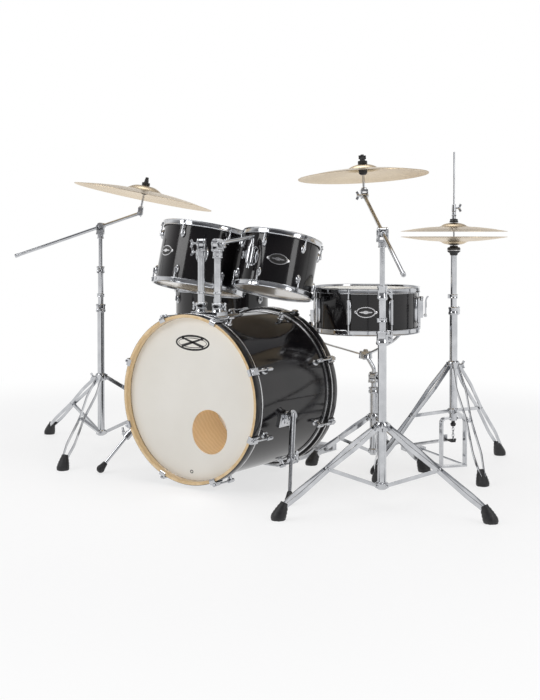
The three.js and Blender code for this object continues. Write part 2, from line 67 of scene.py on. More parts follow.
BASS = {"r": 254, "wall": 7, "half": 203, "z": 277, "hoop": 267, "face": 226, "back": 188, "lug": 142}
PORT = (71, 180 - 277, 69)
SPUR = {"at": (274, -50, 232), "foot": (380, -217, 14), "axis": (0.904, 0, 0.428)}
POST = {"x": 33, "y": -115, "r": 11, "bottom": 470, "pivot": 762}
TOMS = {
    "tom12": {"at": (-262, 178, 702), "lean": 12.8, "toward": 77, "r": 152.4, "depth": 203,
              "post": -33, "lug": 30, "badge": -109},
    "tom10": {"at": (58, 180, 687), "lean": 15, "toward": 81, "r": 127, "depth": 178,
              "post": 33, "lug": 15, "badge": -56},
}
FLOOR_TOM = {"at": (-458, 537, 403), "r": 178, "depth": 356, "leg": 195, "legs": (90, 210, 330)}
SNARE = {"at": (239, 452, 532.5), "r": 178, "depth": 140, "side": 35.6}
SNARE_STAND = {"at": (262, 469), "reach": 232, "legs": (229, 349, 109), "hub": 40, "shoulder": 157}
HIHAT = {"at": (526, 550), "reach": 300, "legs": (315, 82, 238), "hub": 193, "shoulder": 349}
BOOMS = {
    "crash": {"at": (614, -83), "reach": 345, "legs": (242, 2, 122), "hub": 64, "shoulder": 235,
              "lower": (472, 512), "upper": (602, 644), "pivot": 798, "high": (434.5, 114.4, 912),
              "low": (793.5, -280.4, 684), "normal": (-0.076, 0.02, 0.997), "r": 203, "rise": 37},
    "ride": {"at": (-682, 99), "reach": 400, "legs": (165, 295, 50), "hub": 61, "shoulder": 265,
             "lower": (504, 534), "upper": (647, 673), "pivot": 818, "high": (-563.7, 183.7, 868),
             "low": (-938, -84, 710), "normal": (0.137, 0.149, 0.979), "r": 254, "rise": 42},
}
TUBE_WALL = 2.6
PEDAL = {"axle": (0, 262, 190), "shaft": 140, "back": 40, "swing": 52}


# ---- materials ----
def ramp(tree, fac, stops):
    node = tree.nodes.new("ShaderNodeValToRGB")
    while len(node.color_ramp.elements) < len(stops):
        node.color_ramp.elements.new(0.5)
    for element, (place, colour) in zip(node.color_ramp.elements, stops):
        element.position = place
        element.color = (*colour, 1)
    tree.links.new(fac, node.inputs["Fac"])
    return node.outputs["Color"]


def finish(name, dark, light, rough, scale=14, grain=240, bump=0.02, metal=0.0, stretch=(1, 1, 1),
           rings=None, bands=None, radial=0.0, **sockets):
    """A finish with broad colour drift, grain in the gloss and a fine relief; rings are turned grooves
    round local Z and bands are wood figure."""
    mat = bpy.data.materials.new(name)
    mat.use_nodes = True
    tree = mat.node_tree
    link = tree.links.new
    shader = tree.nodes["Principled BSDF"]
    place = tree.nodes.new("ShaderNodeMapping")
    place.inputs["Scale"].default_value = stretch
    link(tree.nodes.new("ShaderNodeTexCoord").outputs["Object"], place.inputs["Vector"])

    def texture(kind, size, detail=3.0):
        node = tree.nodes.new(kind)
        node.inputs["Scale"].default_value = size
        node.inputs["Detail"].default_value = detail
        link(place.outputs["Vector"], node.inputs["Vector"])
        return node

    def span(value, low, high):
        node = tree.nodes.new("ShaderNodeMapRange")
        node.inputs["From Min"].default_value = 0.25
        node.inputs["From Max"].default_value = 0.75
        node.inputs["To Min"].default_value = low
        node.inputs["To Max"].default_value = high
        link(value, node.inputs["Value"])
        return node.outputs["Result"]

    broad = texture("ShaderNodeTexNoise", scale, 4.0).outputs["Fac"]
    fine = texture("ShaderNodeTexNoise", grain, 2.0).outputs["Fac"]
    pattern, relief = broad, fine
    if rings or bands:
        wave = texture("ShaderNodeTexWave", rings or bands, 3.0)
        wave.wave_type = "RINGS" if rings else "BANDS"
        wave.rings_direction = "Z"
        wave.bands_direction = "Z"
        wave.inputs["Distortion"].default_value = 1.2 if rings else 3.5
        wave.inputs["Detail Scale"].default_value = 1.5
        blend = tree.nodes.new("ShaderNodeMix")
        blend.inputs["Factor"].default_value = 0.5
        link(broad, blend.inputs["A"])
        link(wave.outputs["Fac"], blend.inputs["B"])
        pattern = blend.outputs["Result"]
        relief = pattern
    link(ramp(tree, pattern, [(0.3, dark), (0.7, light)]), shader.inputs["Base Color"])
    link(span(fine, *rough), shader.inputs["Roughness"])
    height = tree.nodes.new("ShaderNodeBump")
    height.inputs["Strength"].default_value = bump
    height.inputs["Distance"].default_value = 0.001
    link(relief, height.inputs["Height"])
    link(height.outputs["Normal"], shader.inputs["Normal"])
    shader.inputs["Metallic"].default_value = metal
    if radial:
        tangent = tree.nodes.new("ShaderNodeTangent")
        tangent.direction_type = "RADIAL"
        tangent.axis = "Z"
        link(tangent.outputs["Tangent"], shader.inputs["Tangent"])
        shader.inputs["Anisotropic"].default_value = radial
    for key, value in sockets.items():
        shader.inputs[key.replace("_", " ")].default_value = value
    return mat


FINISHES = {
    "lacquer": finish("lacquer", (0.005, 0.005, 0.006), (0.013, 0.011, 0.012), (0.07, 0.13), 9, 60, 0.03,
                      Specular_IOR_Level=0.42),
    "chrome": finish("chrome", (0.47, 0.48, 0.50), (0.62, 0.63, 0.65), (0.07, 0.15), 25, 300, 0.02, 1.0),
    "steel": finish("steel", (0.36, 0.37, 0.39), (0.62, 0.63, 0.65), (0.26, 0.42), 30, 700, 0.12, 1.0,
                    (1, 1, 0.15)),
    "film": finish("film", (0.80, 0.78, 0.72), (0.88, 0.86, 0.81), (0.42, 0.58), 7, 900, 0.10),
    "bass_film": finish("bass_film", (0.83, 0.80, 0.73), (0.90, 0.875, 0.82), (0.30, 0.42), 4, 700, 0.05),
    "clear": finish("clear", (0.60, 0.47, 0.31), (0.76, 0.64, 0.47), (0.14, 0.24), 8, 500, 0.03,
                    Coat_Weight=0.6, Coat_Roughness=0.08),
    "bronze": finish("bronze", (0.52, 0.40, 0.25), (0.80, 0.67, 0.48), (0.26, 0.36), 6, 300, 0.10, 1.0,
                     rings=90, radial=0.5),
    "maple": finish("maple", (0.70, 0.49, 0.25), (0.82, 0.61, 0.35), (0.28, 0.40), 10, 300, 0.05,
                    stretch=(1, 1, 0.6), bands=26, Coat_Weight=0.5, Coat_Roughness=0.1),
    "inner_ply": finish("inner_ply", (0.49, 0.345, 0.19), (0.545, 0.395, 0.225), (0.40, 0.52), 9, 260, 0.04,
                        stretch=(1, 1, 0.5), bands=34),
    "rubber": finish("rubber", (0.008, 0.008, 0.009), (0.028, 0.028, 0.030), (0.42, 0.60), 60, 500, 0.25),
    "felt": finish("felt", (0.006, 0.006, 0.006), (0.030, 0.029, 0.028), (0.80, 0.95), 300, 900, 0.9,
                   Sheen_Weight=0.3),
    "beater_felt": finish("beater_felt", (0.55, 0.52, 0.46), (0.76, 0.73, 0.66), (0.8, 0.95), 200, 900,
                          0.9, Sheen_Weight=0.3),
    "ink": finish("ink", (0.010, 0.010, 0.011), (0.030, 0.028, 0.027), (0.35, 0.5), 120, 600, 0.05),
    "silver": finish("silver", (0.62, 0.62, 0.63), (0.82, 0.82, 0.83), (0.2, 0.32), 40, 500, 0.05, 1.0),
    "brown": finish("brown", (0.20, 0.09, 0.03), (0.42, 0.22, 0.09), (0.5, 0.7), 70, 600, 0.3),
}


# ---- shapes: lists of points and faces, in millimetres ----
class Shape:
    def __init__(self, points, faces, look="chrome"):
        self.points, self.faces, self.look = points, faces, look

    def on(self, m):
        self.points = [m @ p for p in self.points]
        return self

    def of(self, look):
        self.look = look
        return self


def basis(at, z, x=None):
    z = Vector(z).normalized()
    x = Vector(x) if x is not None else (X if abs(z.x) < 0.9 else Y)
    x = (x - z * x.dot(z)).normalized()
    y = z.cross(x)
    m = Matrix((x, y, z)).transposed().to_4x4()
    m.translation = Vector(at)
    return m


def heading(deg):
    a = math.radians(deg)
    return Vector((math.cos(a), math.sin(a), 0))


def polar(at, r, deg, z):
    return Vector((at[0], at[1], 0)) + heading(deg) * r + UP * z


def lathe(profile, look="chrome", sides=96, closed=False):
    """A turned shape round local Z from pairs of radius and height."""
    points, rings, faces = [], [], []
    for r, z in profile:
        count = sides if r > 1e-6 else 1
        rings.append(range(len(points), len(points) + count))
        for i in range(count):
            a = 2 * math.pi * i / sides
            points.append(Vector((r * math.cos(a), r * math.sin(a), z)))
    pairs = list(zip(rings, rings[1:])) + ([(rings[-1], rings[0])] if closed else [])
    for a, b in pairs:
        for i in range(sides):
            j = i + 1
            loop = [a[i % len(a)], a[j % len(a)], b[j % len(b)], b[i % len(b)]]
            loop = list(dict.fromkeys(loop))
            if len(loop) > 2:
                faces.append(loop)
    return Shape(points, faces, look)


def rod(p, q, r, r2=None, look="chrome", sides=24):
    p, q = Vector(p), Vector(q)
    length = (q - p).length
    end = r if r2 is None else r2
    e = min(1.0, 0.3 * min(r, end), 0.3 * length)
    outline = [(0, 0), (r - e, 0), (r, e), (end, length - e), (end - e, length), (0, length)]
    return lathe(outline, look, sides).on(basis(p, q - p))


def ball(c, r, squash=1.0, look="chrome", z=UP):
    rows = [(r * math.sin(math.pi * i / 12), -r * squash * math.cos(math.pi * i / 12)) for i in range(13)]
    return lathe(rows, look, 24).on(basis(c, z))


def slab(c, size, x=X, z=UP, look="chrome"):
    half = [s / 2 for s in size]
    corners = [Vector((sx * half[0], sy * half[1], sz * half[2]))
               for sz in (-1, 1) for sy in (-1, 1) for sx in (-1, 1)]
    faces = [(0, 2, 3, 1), (4, 5, 7, 6), (0, 1, 5, 4), (2, 6, 7, 3), (0, 4, 6, 2), (1, 3, 7, 5)]
    return Shape(corners, faces, look).on(basis(c, z, x))


def strap(p, q, w, t, across, look="chrome"):
    p, q = Vector(p), Vector(q)
    return slab((p + q) / 2, (w, t, (q - p).length + t), across, q - p, look)


def sweep(path, section, side, look="chrome", closed=True):
    """A section of (across, up) pairs carried along a path; side fixes its across direction."""
    path = [Vector(p) for p in path]
    points, faces, n = [], [], len(section)
    for i, p in enumerate(path):
        d = (path[min(i + 1, len(path) - 1)] - path[max(i - 1, 0)]).normalized()
        across = (Vector(side) - d * Vector(side).dot(d)).normalized()
        over = d.cross(across)
        points += [p + across * a + over * b for a, b in section]
    for i in range(len(path) - 1):
        for k in range(n):
            a, b = i * n + k, i * n + (k + 1) % n
            faces.append((a, b, b + n, a + n))
    faces += [tuple(range(n)), tuple(range(len(points) - n, len(points)))]
    return Shape(points, faces, look)


def circle(r, sides=16):
    return [(r * math.cos(2 * math.pi * i / sides), r * math.sin(2 * math.pi * i / sides))
            for i in range(sides)]


def smooth(points, steps=8):
    """Points on a smooth curve through the given ones."""
    p = [Vector(q) for q in points]
    p = [2 * p[0] - p[1], *p, 2 * p[-1] - p[-2]]
    out = []
    for i in range(1, len(p) - 2):
        a, b, c, d = p[i - 1:i + 3]
        for k in range(steps):
            t = k / steps
            out.append(0.5 * (2 * b + (c - a) * t + (2 * a - 5 * b + 4 * c - d) * t * t
                              + (3 * b - a - 3 * c + d) * t ** 3))
    return out + [p[-2]]


def wing(p, d, length=14, look="chrome"):
    """A wing screw: a stem, a hub and two flared ears."""
    p, d = Vector(p), Vector(d).normalized()
    side = X if abs(d.z) > 0.9 else UP
    tip = p + d * length
    shapes = [rod(p, tip, 3, look=look), rod(tip - d * 6, tip + d * 3, 5.5, 4.5, look)]
    for s in (-1, 1):
        ear = [tip - d * 2, tip + side * s * 7 + d * 0.5, tip + side * s * 12.5 + d * 3.5]
        shapes.append(sweep(smooth(ear, 4), [(-1.8, -4), (1.8, -4), (1.8, 4), (-1.8, 4)],
                            side.cross(d), look))
    return shapes


def fork(c, h, r, half, up, drop):
    c, h, up = Vector(c), Vector(h).normalized(), Vector(up).normalized()
    ear, reach, shapes = 5, half + 2.9, []
    for s in (-1, 1):
        mid = c + h * s * reach
        shapes.append(rod(mid - h * ear / 2, mid + h * ear / 2, r, sides=32))
        shapes.append(rod(mid + h * s * 2, mid + h * s * 5, r * 0.45, sides=6))
        shapes.append(slab(mid - up * drop / 2, (ear, 1.7 * r, drop), h, up))
    shapes.append(slab(c - up * drop, (2 * reach + ear, 1.9 * r, 7), h, up))
    return shapes


def collar(at, z0, z1, r, deg):
    """A memory lock: a split ring with raised lips and its square key screw."""
    lips = [(r - 3, z0), (r, z0), (r + 1.2, z0 + 1.5), (r, z0 + 4), (r, z1 - 4), (r + 1.2, z1 - 1.5),
            (r, z1), (r - 3, z1)]
    m = Matrix.Translation(Vector((at[0], at[1], 0)))
    return [lathe(lips, sides=40, closed=True).on(m),
            slab(polar(at, r + 2, deg, (z0 + z1) / 2), (8, 9, min(16, z1 - z0)), heading(deg))]


def oval(at, out, up, w, h, depth, look="chrome"):
    """A domed oval casting standing on a surface, as a drum lug."""
    dome = [(0, -3), (1, -3), (1, depth * 0.3), (0.9, depth * 0.62), (0.66, depth * 0.88), (0, depth)]
    squeeze = Matrix.Diagonal((w / 2, h / 2, 1, 1))
    out, up = Vector(out).normalized(), Vector(up)
    return lathe(dome, look, 32).on(basis(at, out, up.cross(out)) @ squeeze)


def piece(name, body, shapes, m=None, stands_for=(), bevel=0.7):
    """One mesh object from shapes, in a drum's own frame m, riding on a body."""
    m = m if m is not None else Matrix.Identity(4)
    name = f"{name}_detailed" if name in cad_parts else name
    looks = list(dict.fromkeys(s.look for s in shapes))
    points, faces, index = [], [], []
    for s in shapes:
        base = len(points)
        points += [p * MM for p in s.points]
        faces += [[base + k for k in f] for f in s.faces]
        index += [looks.index(s.look)] * len(s.faces)
    mesh = bpy.data.meshes.new(name)
    mesh.from_pydata(points, [], faces)
    mesh.polygons.foreach_set("material_index", index)
    for look in looks:
        mesh.materials.append(FINISHES[look])
    bm = bmesh.new()
    bm.from_mesh(mesh)
    bmesh.ops.recalc_face_normals(bm, faces=bm.faces)
    bm.to_mesh(mesh)
    bm.free()
    mesh.polygons.foreach_set("use_smooth", [True] * len(mesh.polygons))
    mesh.set_sharp_from_angle(angle=math.radians(38))
    obj = bpy.data.objects.new(name, mesh)
    bpy.context.scene.collection.objects.link(obj)
    place = m.copy()
    place.translation = m.translation * MM + ORIGIN
    obj.matrix_world = place
    if bevel:
        edge = obj.modifiers.new("edge", "BEVEL")
        edge.width = bevel * MM
        edge.segments = 2
        edge.limit_method = "ANGLE"
        edge.angle_limit = math.radians(38)
        edge.harden_normals = True
    bpy.context.view_layer.update()
    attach(obj, body)
    if stands_for:
        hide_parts(*stands_for)
    return obj


# ---- drums ----
def tension(r, edge, deg, lug_z, s):
    """A tension rod with its hoop ear, washer and square key head."""
    out, side = heading(deg), heading(deg + 90)
    p = lambda z, q=r + 10: polar((0, 0), q, deg, s * z)
    return [
        slab(p(edge - 7.5, r + 9.5), (10, 15, 2.6), out, UP),
        rod(p(lug_z), p(edge - 7), 2.6, sides=12),
        rod(p(edge - 6.4), p(edge - 4), 5, sides=20),
        slab(p(edge + 0.5), (5.2, 5.2, 9), out + side, UP),
    ]


def steel_hoop(name, body, m, r, edge, lugs, offset, s, lug_z):
    outline = [
        (r + 4.6, -9.5), (r + 8.6, -10.2), (r + 9, -8.6), (r + 6.8, -7), (r + 6.4, -3), (r + 6.4, 4.5),
        (r + 8.4, 6), (r + 9.2, 7.6), (r + 8.4, 9), (r + 5, 8.6), (r + 3, 7.2), (r + 2.6, 2.2), (r + 4.6, 2),
    ]
    shapes = [lathe([(q, s * (edge + z)) for q, z in outline], sides=120, closed=True)]
    for i in range(lugs):
        shapes += tension(r, edge, offset + 360 / lugs * i, lug_z, s)
    return piece(name, body, shapes, m, [name], 0.5)


def drum_head(name, body, look, m, r, edge, s):
    """Film drawn over the bearing edge into its flesh hoop, with a slight dish and crown."""
    film = [(0, edge + 1.2), (r - 14, edge + 1.3), (r - 5, edge + 1.5), (r - 1, edge + 1.5),
            (r + 2.4, edge + 0.6), (r + 3.8, edge + 0.4)]
    ring = [(r + 2.4, edge + 0.4), (r + 4.2, edge + 0.4), (r + 4.2, edge + 1.7), (r + 2.4, edge + 1.7)]
    shapes = [
        lathe([(q, s * z) for q, z in film] + [(r, s * (edge + 0.4)), (0, s * (edge + 0.4))], look, 120),
        lathe([(q, s * z) for q, z in ring], "silver", 120, True),
    ]
    return piece(name, body, shapes, m, [name], 0)


def shell_skin(name, body, m, r, wall, half, holes=()):
    outer = [(r - 1.2, -half), (r, -half + 1.4), (r, half - 1.4), (r - 1.2, half)]
    inner = [(r - 1.2, half), (r - wall + 1, half - 0.6), (r - wall, half - 4),
             (r - wall, -half + 4), (r - wall + 1, -half + 0.6), (r - 1.2, -half)]
    shapes = [lathe(outer, "lacquer", 128), lathe(inner, "inner_ply", 128)]
    return piece(name, body, shapes, m, [name], 0)


def badge(name, body, m, r, deg, z, w=64, h=36):
    """An oval plate with side tabs, bent to the shell: a silver rim, a dark field and a plain bar."""
    def plate(scale_w, scale_h, lift, look, rows=6, sides=48):
        points, faces = [], []
        for k in range(rows + 1):
            for i in range(sides):
                a = 2 * math.pi * i / sides
                u = math.cos(a) * w / 2 * scale_w * k / rows
                v = math.sin(a) * h / 2 * scale_h * k / rows
                q = math.radians(deg) + u / r
                points.append(Vector((math.cos(q) * (r + lift), math.sin(q) * (r + lift), z + v)))
        for k in range(rows):
            for i in range(sides):
                j = (i + 1) % sides
                faces.append((k * sides + i, k * sides + j, (k + 1) * sides + j, (k + 1) * sides + i))
        for i in range(sides):
            q = points[rows * sides + i]
            points.append(Vector((q.x, q.y, 0)).normalized() * (r - 0.5) + UP * q.z)
        for i in range(sides):
            j = (i + 1) % sides
            edge = rows * sides
            faces.append((edge + i, edge + j, edge + sides + j, edge + sides + i))
        return Shape(points, faces, look)
    shapes = [plate(1, 1, 1.2, "silver"), plate(0.9, 0.84, 1.7, "ink"), plate(0.68, 0.16, 2.1, "silver"),
              plate(0.5, 0.5, 1.95, "ink"), plate(0.3, 0.3, 2.2, "silver")]
    for s in (-1, 1):
        turn = deg + s * math.degrees(w * 0.5 / r)
        shapes.append(oval(polar((0, 0), r, turn, z), heading(turn), UP, 13, 11, 1.6, "silver"))
        shapes.append(ball(polar((0, 0), r + 1.6, turn, z), 2.2, 0.7, z=heading(turn)))
    return piece(name, body, shapes, m, (), 0)


def round_lugs(r, edge, lugs, offset, back=38):
    shapes = []
    for i in range(lugs):
        deg = offset + 360 / lugs * i
        for s in (-1, 1):
            at = polar((0, 0), r, deg, s * (edge - back))
            shapes.append(oval(at, heading(deg), UP, 17, 33, 9))
            shapes.append(rod(polar((0, 0), r + 10, deg, s * (edge - back - 6)),
                              polar((0, 0), r + 10, deg, s * (edge - back + 12)), 4.6, 3.6, sides=20))
            shapes.append(slab(polar((0, 0), r + 5, deg, s * (edge - back + 2)), (10, 7, 14), heading(deg)))
    return shapes


def mounted_tom(name, t):
    a = math.radians(t["lean"])
    axis = heading(t["toward"]) * math.sin(a) + UP * math.cos(a)
    pivot = Vector((t["post"], POST["y"], POST["pivot"]))
    m = basis(t["at"], axis, pivot - Vector(t["at"]))
    r, edge, stem = t["r"], t["depth"] / 2, t["r"] + 18
    shell_skin(f"{name}_shell", name, m, r, 6, edge)
    hardware = round_lugs(r, edge, 6, t["lug"])
    hardware += [
        oval((r, 0, 0), X, UP, 44, 66, 5), slab((r + 9, 0, 0), (16, 30, 50)),
        rod((stem, 0, -27), (stem, 0, 27), 12.5, sides=32), slab((stem - 2, -14, 0), (16, 8, 26)),
        rod((stem, 0, -30), (stem, 0, -26), 10), rod((stem, 0, 26), (stem, 0, 30), 10),
        *wing((stem - 4, -17, 0), -Y, 16),
    ]
    piece(f"{name}_lugs", name, hardware, m)
    local = m.inverted().to_3x3()
    facing = local @ heading(t["badge"])
    badge(f"{name}_badge", name, m, r, math.degrees(math.atan2(facing.y, facing.x)), 0)
    for which, s in (("batter", 1), ("resonant", -1)):
        steel_hoop(f"{name}_{which}_hoop", name, m, r, edge, 6, t["lug"], s, edge - 34)
    drum_head(f"{name}_batter_head", name, "film", m, r, edge, 1)
    drum_head(f"{name}_resonant_head", name, "clear", m, r, edge, -1)
    bend, end = m @ Vector((stem, 0, 60)), m @ Vector((stem, 0, -45))
    flat = bend - pivot
    flat.z = 0
    flat.normalize()
    h = UP.cross(flat)
    start = pivot + (bend - pivot) * 0.12
    corner = (bend - start).normalized()
    down = (end - bend).normalized()
    path = [start, bend - corner * 14, bend - corner * 5 + down * 1.5, bend - corner * 1.5 + down * 5,
            bend + down * 14, end]
    arm = [rod(pivot - h * 8, pivot + h * 8, 15, sides=40), rod(pivot - h * 7, pivot + h * 7, 15.6, sides=12),
           sweep(smooth(path, 5), circle(6), h),
           rod(start, pivot + (bend - pivot) * 0.3, 9, 8, sides=24),
           rod(bend + down * 24, bend + down * 34, 9, sides=24)]
    piece(f"{name}_arm", f"{name}_arm", arm, None, [f"{name}_arm"])
    x, y, sign = t["post"], POST["y"], math.copysign(1, -t["post"])
    post = [
        rod((x, y, POST["bottom"]), (x, y, POST["pivot"] - 19), POST["r"], sides=40),
        rod((x, y, POST["pivot"] - 46), (x, y, POST["pivot"] - 40), 17, sides=40),
        rod((x, y, POST["pivot"] - 40), (x, y, POST["pivot"] - 26), 15.4, sides=40),
        rod((x, y, POST["pivot"] - 26), (x, y, POST["pivot"] - 20), 17, sides=40),
        rod((x, y, 602), (x, y, 610), 14, sides=32), slab((x, y - 14, 606), (8, 8, 7)),
        *fork(pivot, h, 16, 8, UP, 20), *wing(pivot + h * 12 * sign, h * sign, 18),
    ]
    piece(f"{name}_post", f"{name}_post", post, None, [f"{name}_post"])


def bass_drum():
    m = basis((0, 0, BASS["z"]), (0, -1, 0), X)
    r, half, hoop, face, back = BASS["r"], BASS["half"], BASS["hoop"], BASS["face"], BASS["back"]
    shell_skin("bass_shell", "kit", m, r, BASS["wall"], half)
    hardware = []
    turns = [22.5 + 45 * i for i in range(8)]
    for deg in turns:
        for s in (-1, 1):
            z = s * BASS["lug"]
            p = lambda q, dz=0: polar((0, 0), q, deg, z + dz)
            hardware += [
                oval(p(r), heading(deg), UP, 22, 30, 6), rod(p(r), p(r + 22), 8, 6.5, sides=28),
                rod(p(r + 21, -10 * s), p(r + 21, 12 * s), 6.5, sides=24), ball(p(r + 21, -11 * s), 6.2),
            ]
    inverse = m.inverted()
    for s in (-1, 1):
        out = Vector((s * SPUR["axis"][0], 0, SPUR["axis"][2]))
        c = Vector((s * SPUR["at"][0], SPUR["at"][1], SPUR["at"][2]))
        seat = inverse @ (c - out * 34)
        turn = math.degrees(math.atan2(seat.y, seat.x))
        hardware += [rod(c - out * 32, c - out * 6.6, 16, 17, sides=32).on(inverse),
                     rod(c - out * 12, c - out * 9, 18, sides=32).on(inverse)]
        hardware += [slab(polar((0, 0), r + 3, turn, -SPUR["at"][1]), (7, 44, 64), heading(turn)),
                     oval(polar((0, 0), r + 6, turn, -SPUR["at"][1]), heading(turn), UP, 40, 52, 5)]
    piece("bass_lugs", "kit", hardware, m)

    for name, s in (("front", 1), ("rear", -1)):
        black = [(hoop - 11, face - 1.6), (hoop - 4, face - 0.2), (hoop - 1, face - 0.6), (hoop, face - 2.5),
                 (hoop, back + 2), (hoop - 1.4, back), (hoop - 7.5, back), (hoop - 7.5, half + 2.2),
                 (hoop - 11, half + 2.2)]
        wood = [(hoop - 11.5, half + 2.3), (hoop - 11.5, face - 2.2), (hoop - 10, face - 0.4),
                (hoop - 8, face), (hoop - 2.4, face), (hoop - 0.9, face - 1.1), (hoop - 1.6, face - 3),
                (hoop - 10, face - 3.4), (hoop - 10.8, half + 2.3)]
        line = [(hoop - 0.4, back + 5), (hoop + 0.25, back + 5.2), (hoop + 0.25, back + 8.4),
                (hoop - 0.4, back + 8.6)]
        shapes = [lathe([(q, s * z) for q, z in black], "lacquer", 160, True),
                  lathe([(q, s * z) for q, z in wood], "maple", 160, True),
                  lathe([(q, s * z) for q, z in line], "silver", 160, True)]
        piece(f"bass_{name}_hoop", "kit", shapes, m, [f"bass_{name}_hoop"], 0)
        claws = []
        for deg in turns:
            out = heading(deg)
            p = lambda q, z: polar((0, 0), q, deg, s * z)
            hook = [p(hoop - 11, face + 0.6), p(hoop - 8, face + 2.2), p(hoop - 1, face + 2.6),
                    p(hoop + 3.4, face), p(hoop + 4, face - 8), p(hoop + 4.4, face - 20),
                    p(hoop + 3, face - 34)]
            side = UP.cross(out)
            claws += [
                sweep(smooth(hook, 4), [(-11, -1.7), (11, -1.7), (11, 1.7), (-11, 1.7)], side),
                sweep(smooth([q - out * 2.4 for q in hook[3:]], 3),
                      [(-12, -0.9), (12, -0.9), (12, 0.9), (-12, 0.9)], side, "rubber"),
                slab(p(hoop + 8, face - 12), (9, 14, 20), out), rod(p(hoop + 8, 152), p(hoop + 8, face), 3, sides=16),
                rod(p(hoop + 8, face - 3), p(hoop + 8, face + 1), 5.6, sides=24),
                slab(p(hoop + 8, face + 2), (5.4, 5.4, 6), out + side),
            ]
        piece(f"bass_{name}_claws", "kit", claws, m, (), 0.6)

    collar_ring = [(r + 0.8, 181), (r + 4.4, 181.6), (r + 4.6, 184), (r + 4.6, half), (r + 3.6, half + 1.6),
                   (r - 0.5, half + 1.7), (r - 0.5, half + 0.5), (r + 0.8, half + 0.4)]
    for name, s in (("front", 1), ("batter", -1)):
        shapes = [lathe([(q, s * z) for q, z in collar_ring], "silver", 160, True)]
        shapes += film_disc(r, half, s, name == "front")
        piece(f"bass_{name}_head", "kit", shapes, m, [f"bass_{name}_head"], 0)
    emblem(m, half + 1.65)


def film_disc(r, half, s, port):
    """The head's film; the front one has its port hole, cut as a ring of quads round the hole."""
    sides, rows = 96, 14
    cx, cy, hole = PORT if port else (0, 0, 1.5)
    points, faces = [], []
    for level in (half + 0.4, half + 1.6):
        for k in range(rows + 1):
            t = k / rows
            for i in range(sides):
                a = 2 * math.pi * i / sides
                inner = Vector((cx + hole * math.cos(a), cy + hole * math.sin(a)))
                outer = Vector((r * math.cos(a), r * math.sin(a)))
                q = inner.lerp(outer, t)
                points.append(Vector((q.x, q.y, s * level)))
    n = (rows + 1) * sides
    for k in range(rows):
        for i in range(sides):
            j = (i + 1) % sides
            for base in (0, n):
                faces.append([base + k * sides + i, base + k * sides + j,
                              base + (k + 1) * sides + j, base + (k + 1) * sides + i])
    for i in range(sides):
        j = (i + 1) % sides
        faces.append([i, j, n + j, n + i])
        faces.append([rows * sides + i, rows * sides + j, n + rows * sides + j, n + rows * sides + i])
    return [Shape(points, faces, "bass_film")]


def emblem(m, z):
    """A plain mark: a long oval ring with two crossed sticks, and a small ring low on the head."""
    def ring(cx, cy, w, h, line):
        outer = [(w / 2, h / 2), (w / 2 - line, h / 2 - line)]
        points, faces, n = [], [], 72
        for a, b in outer:
            for i in range(n):
                t = 2 * math.pi * i / n
                points.append(Vector((cx + a * math.cos(t), cy + b * math.sin(t), z)))
        for i in range(n):
            j = (i + 1) % n
            faces.append((i, j, n + j, n + i))
        return Shape(points, faces, "ink")

    def stick(p, q, wide, narrow):
        p, q = Vector((*p, z + 0.05)), Vector((*q, z + 0.05))
        side = UP.cross(q - p).normalized()
        return Shape([p - side * wide, p + side * wide, q + side * narrow, q - side * narrow],
                     [(0, 1, 2, 3)], "ink")
    shapes = [ring(4, 176, 136, 50, 6.5), ring(4, 176, 114, 32, 2.2), ring(0, -228, 13, 11, 2.6)]
    for s in (-1, 1):
        shapes.append(stick((4 - s * 44, 164), (4 + s * 36, 189), 4.6, 2.6))
        shapes.append(lathe([(0, 0), (5.4, 0)], "ink", 24).on(Matrix.Translation((4 + s * 38, 189.8, z))))
    piece("bass_head_mark", "kit", shapes, m, (), 0)


def tom_bracket():
    z, y = 536, POST["y"]
    shapes = []
    path = []
    for i in range(13):
        a = math.radians(76 + 28 * i / 12)
        path.append(Vector((math.cos(a) * 258.6, y, BASS["z"] + math.sin(a) * 258.6)))
    shapes.append(sweep(path, [(-34, -3.4), (34, -3.4), (34, 3.4), (-34, 3.4)], Y))
    shapes.append(slab((0, y, z + 3), (104, 56, 14)))
    for s in (-1, 1):
        x = s * POST["x"]
        socket = [(11.6, 531), (19, 531), (19, 548), (17, 551), (17, 562), (19, 565), (19, 573), (17, 575),
                  (11.6, 575)]
        shapes.append(lathe(socket, sides=48, closed=True).on(Matrix.Translation((x, y, 0))))
        shapes += wing((s * 47, y, 562), X * s, 16)
        for t in (-1, 1):
            shapes.append(rod((s * 48, y + t * 24, z - 2), (s * 48, y + t * 24, z + 3), 4.4, sides=6))
    piece("tom_bracket", "kit", shapes, None, ["tom_bracket"])


def spur(name, s):
    c = Vector((s * SPUR["at"][0], SPUR["at"][1], SPUR["at"][2]))
    out = Vector((s * SPUR["axis"][0], 0, SPUR["axis"][2])).normalized()
    foot = Vector((s * SPUR["foot"][0], SPUR["foot"][1], SPUR["foot"][2]))
    root = c + out * 5
    d = (foot - root).normalized()
    knee = root + d * 165
    shapes = [
        rod(c - out * 6, c + out * 10, 15, sides=40), rod(c + out * 10, c + out * 12.5, 7, sides=6),
        rod(root, knee, 9.5, sides=32), rod(knee, foot, 5.5, sides=24),
        rod(knee - d * 22, knee, 12.5, sides=32), rod(knee - d * 3, knee + d * 2, 10, sides=32),
        *wing(knee - d * 11, out, 24),
        ball(foot, 13.6, 1.0, "rubber"), rod(foot - d * 26, foot - d * 4, 8, 12, "rubber", 28),
    ]
    piece(name, name, shapes, None, [name])


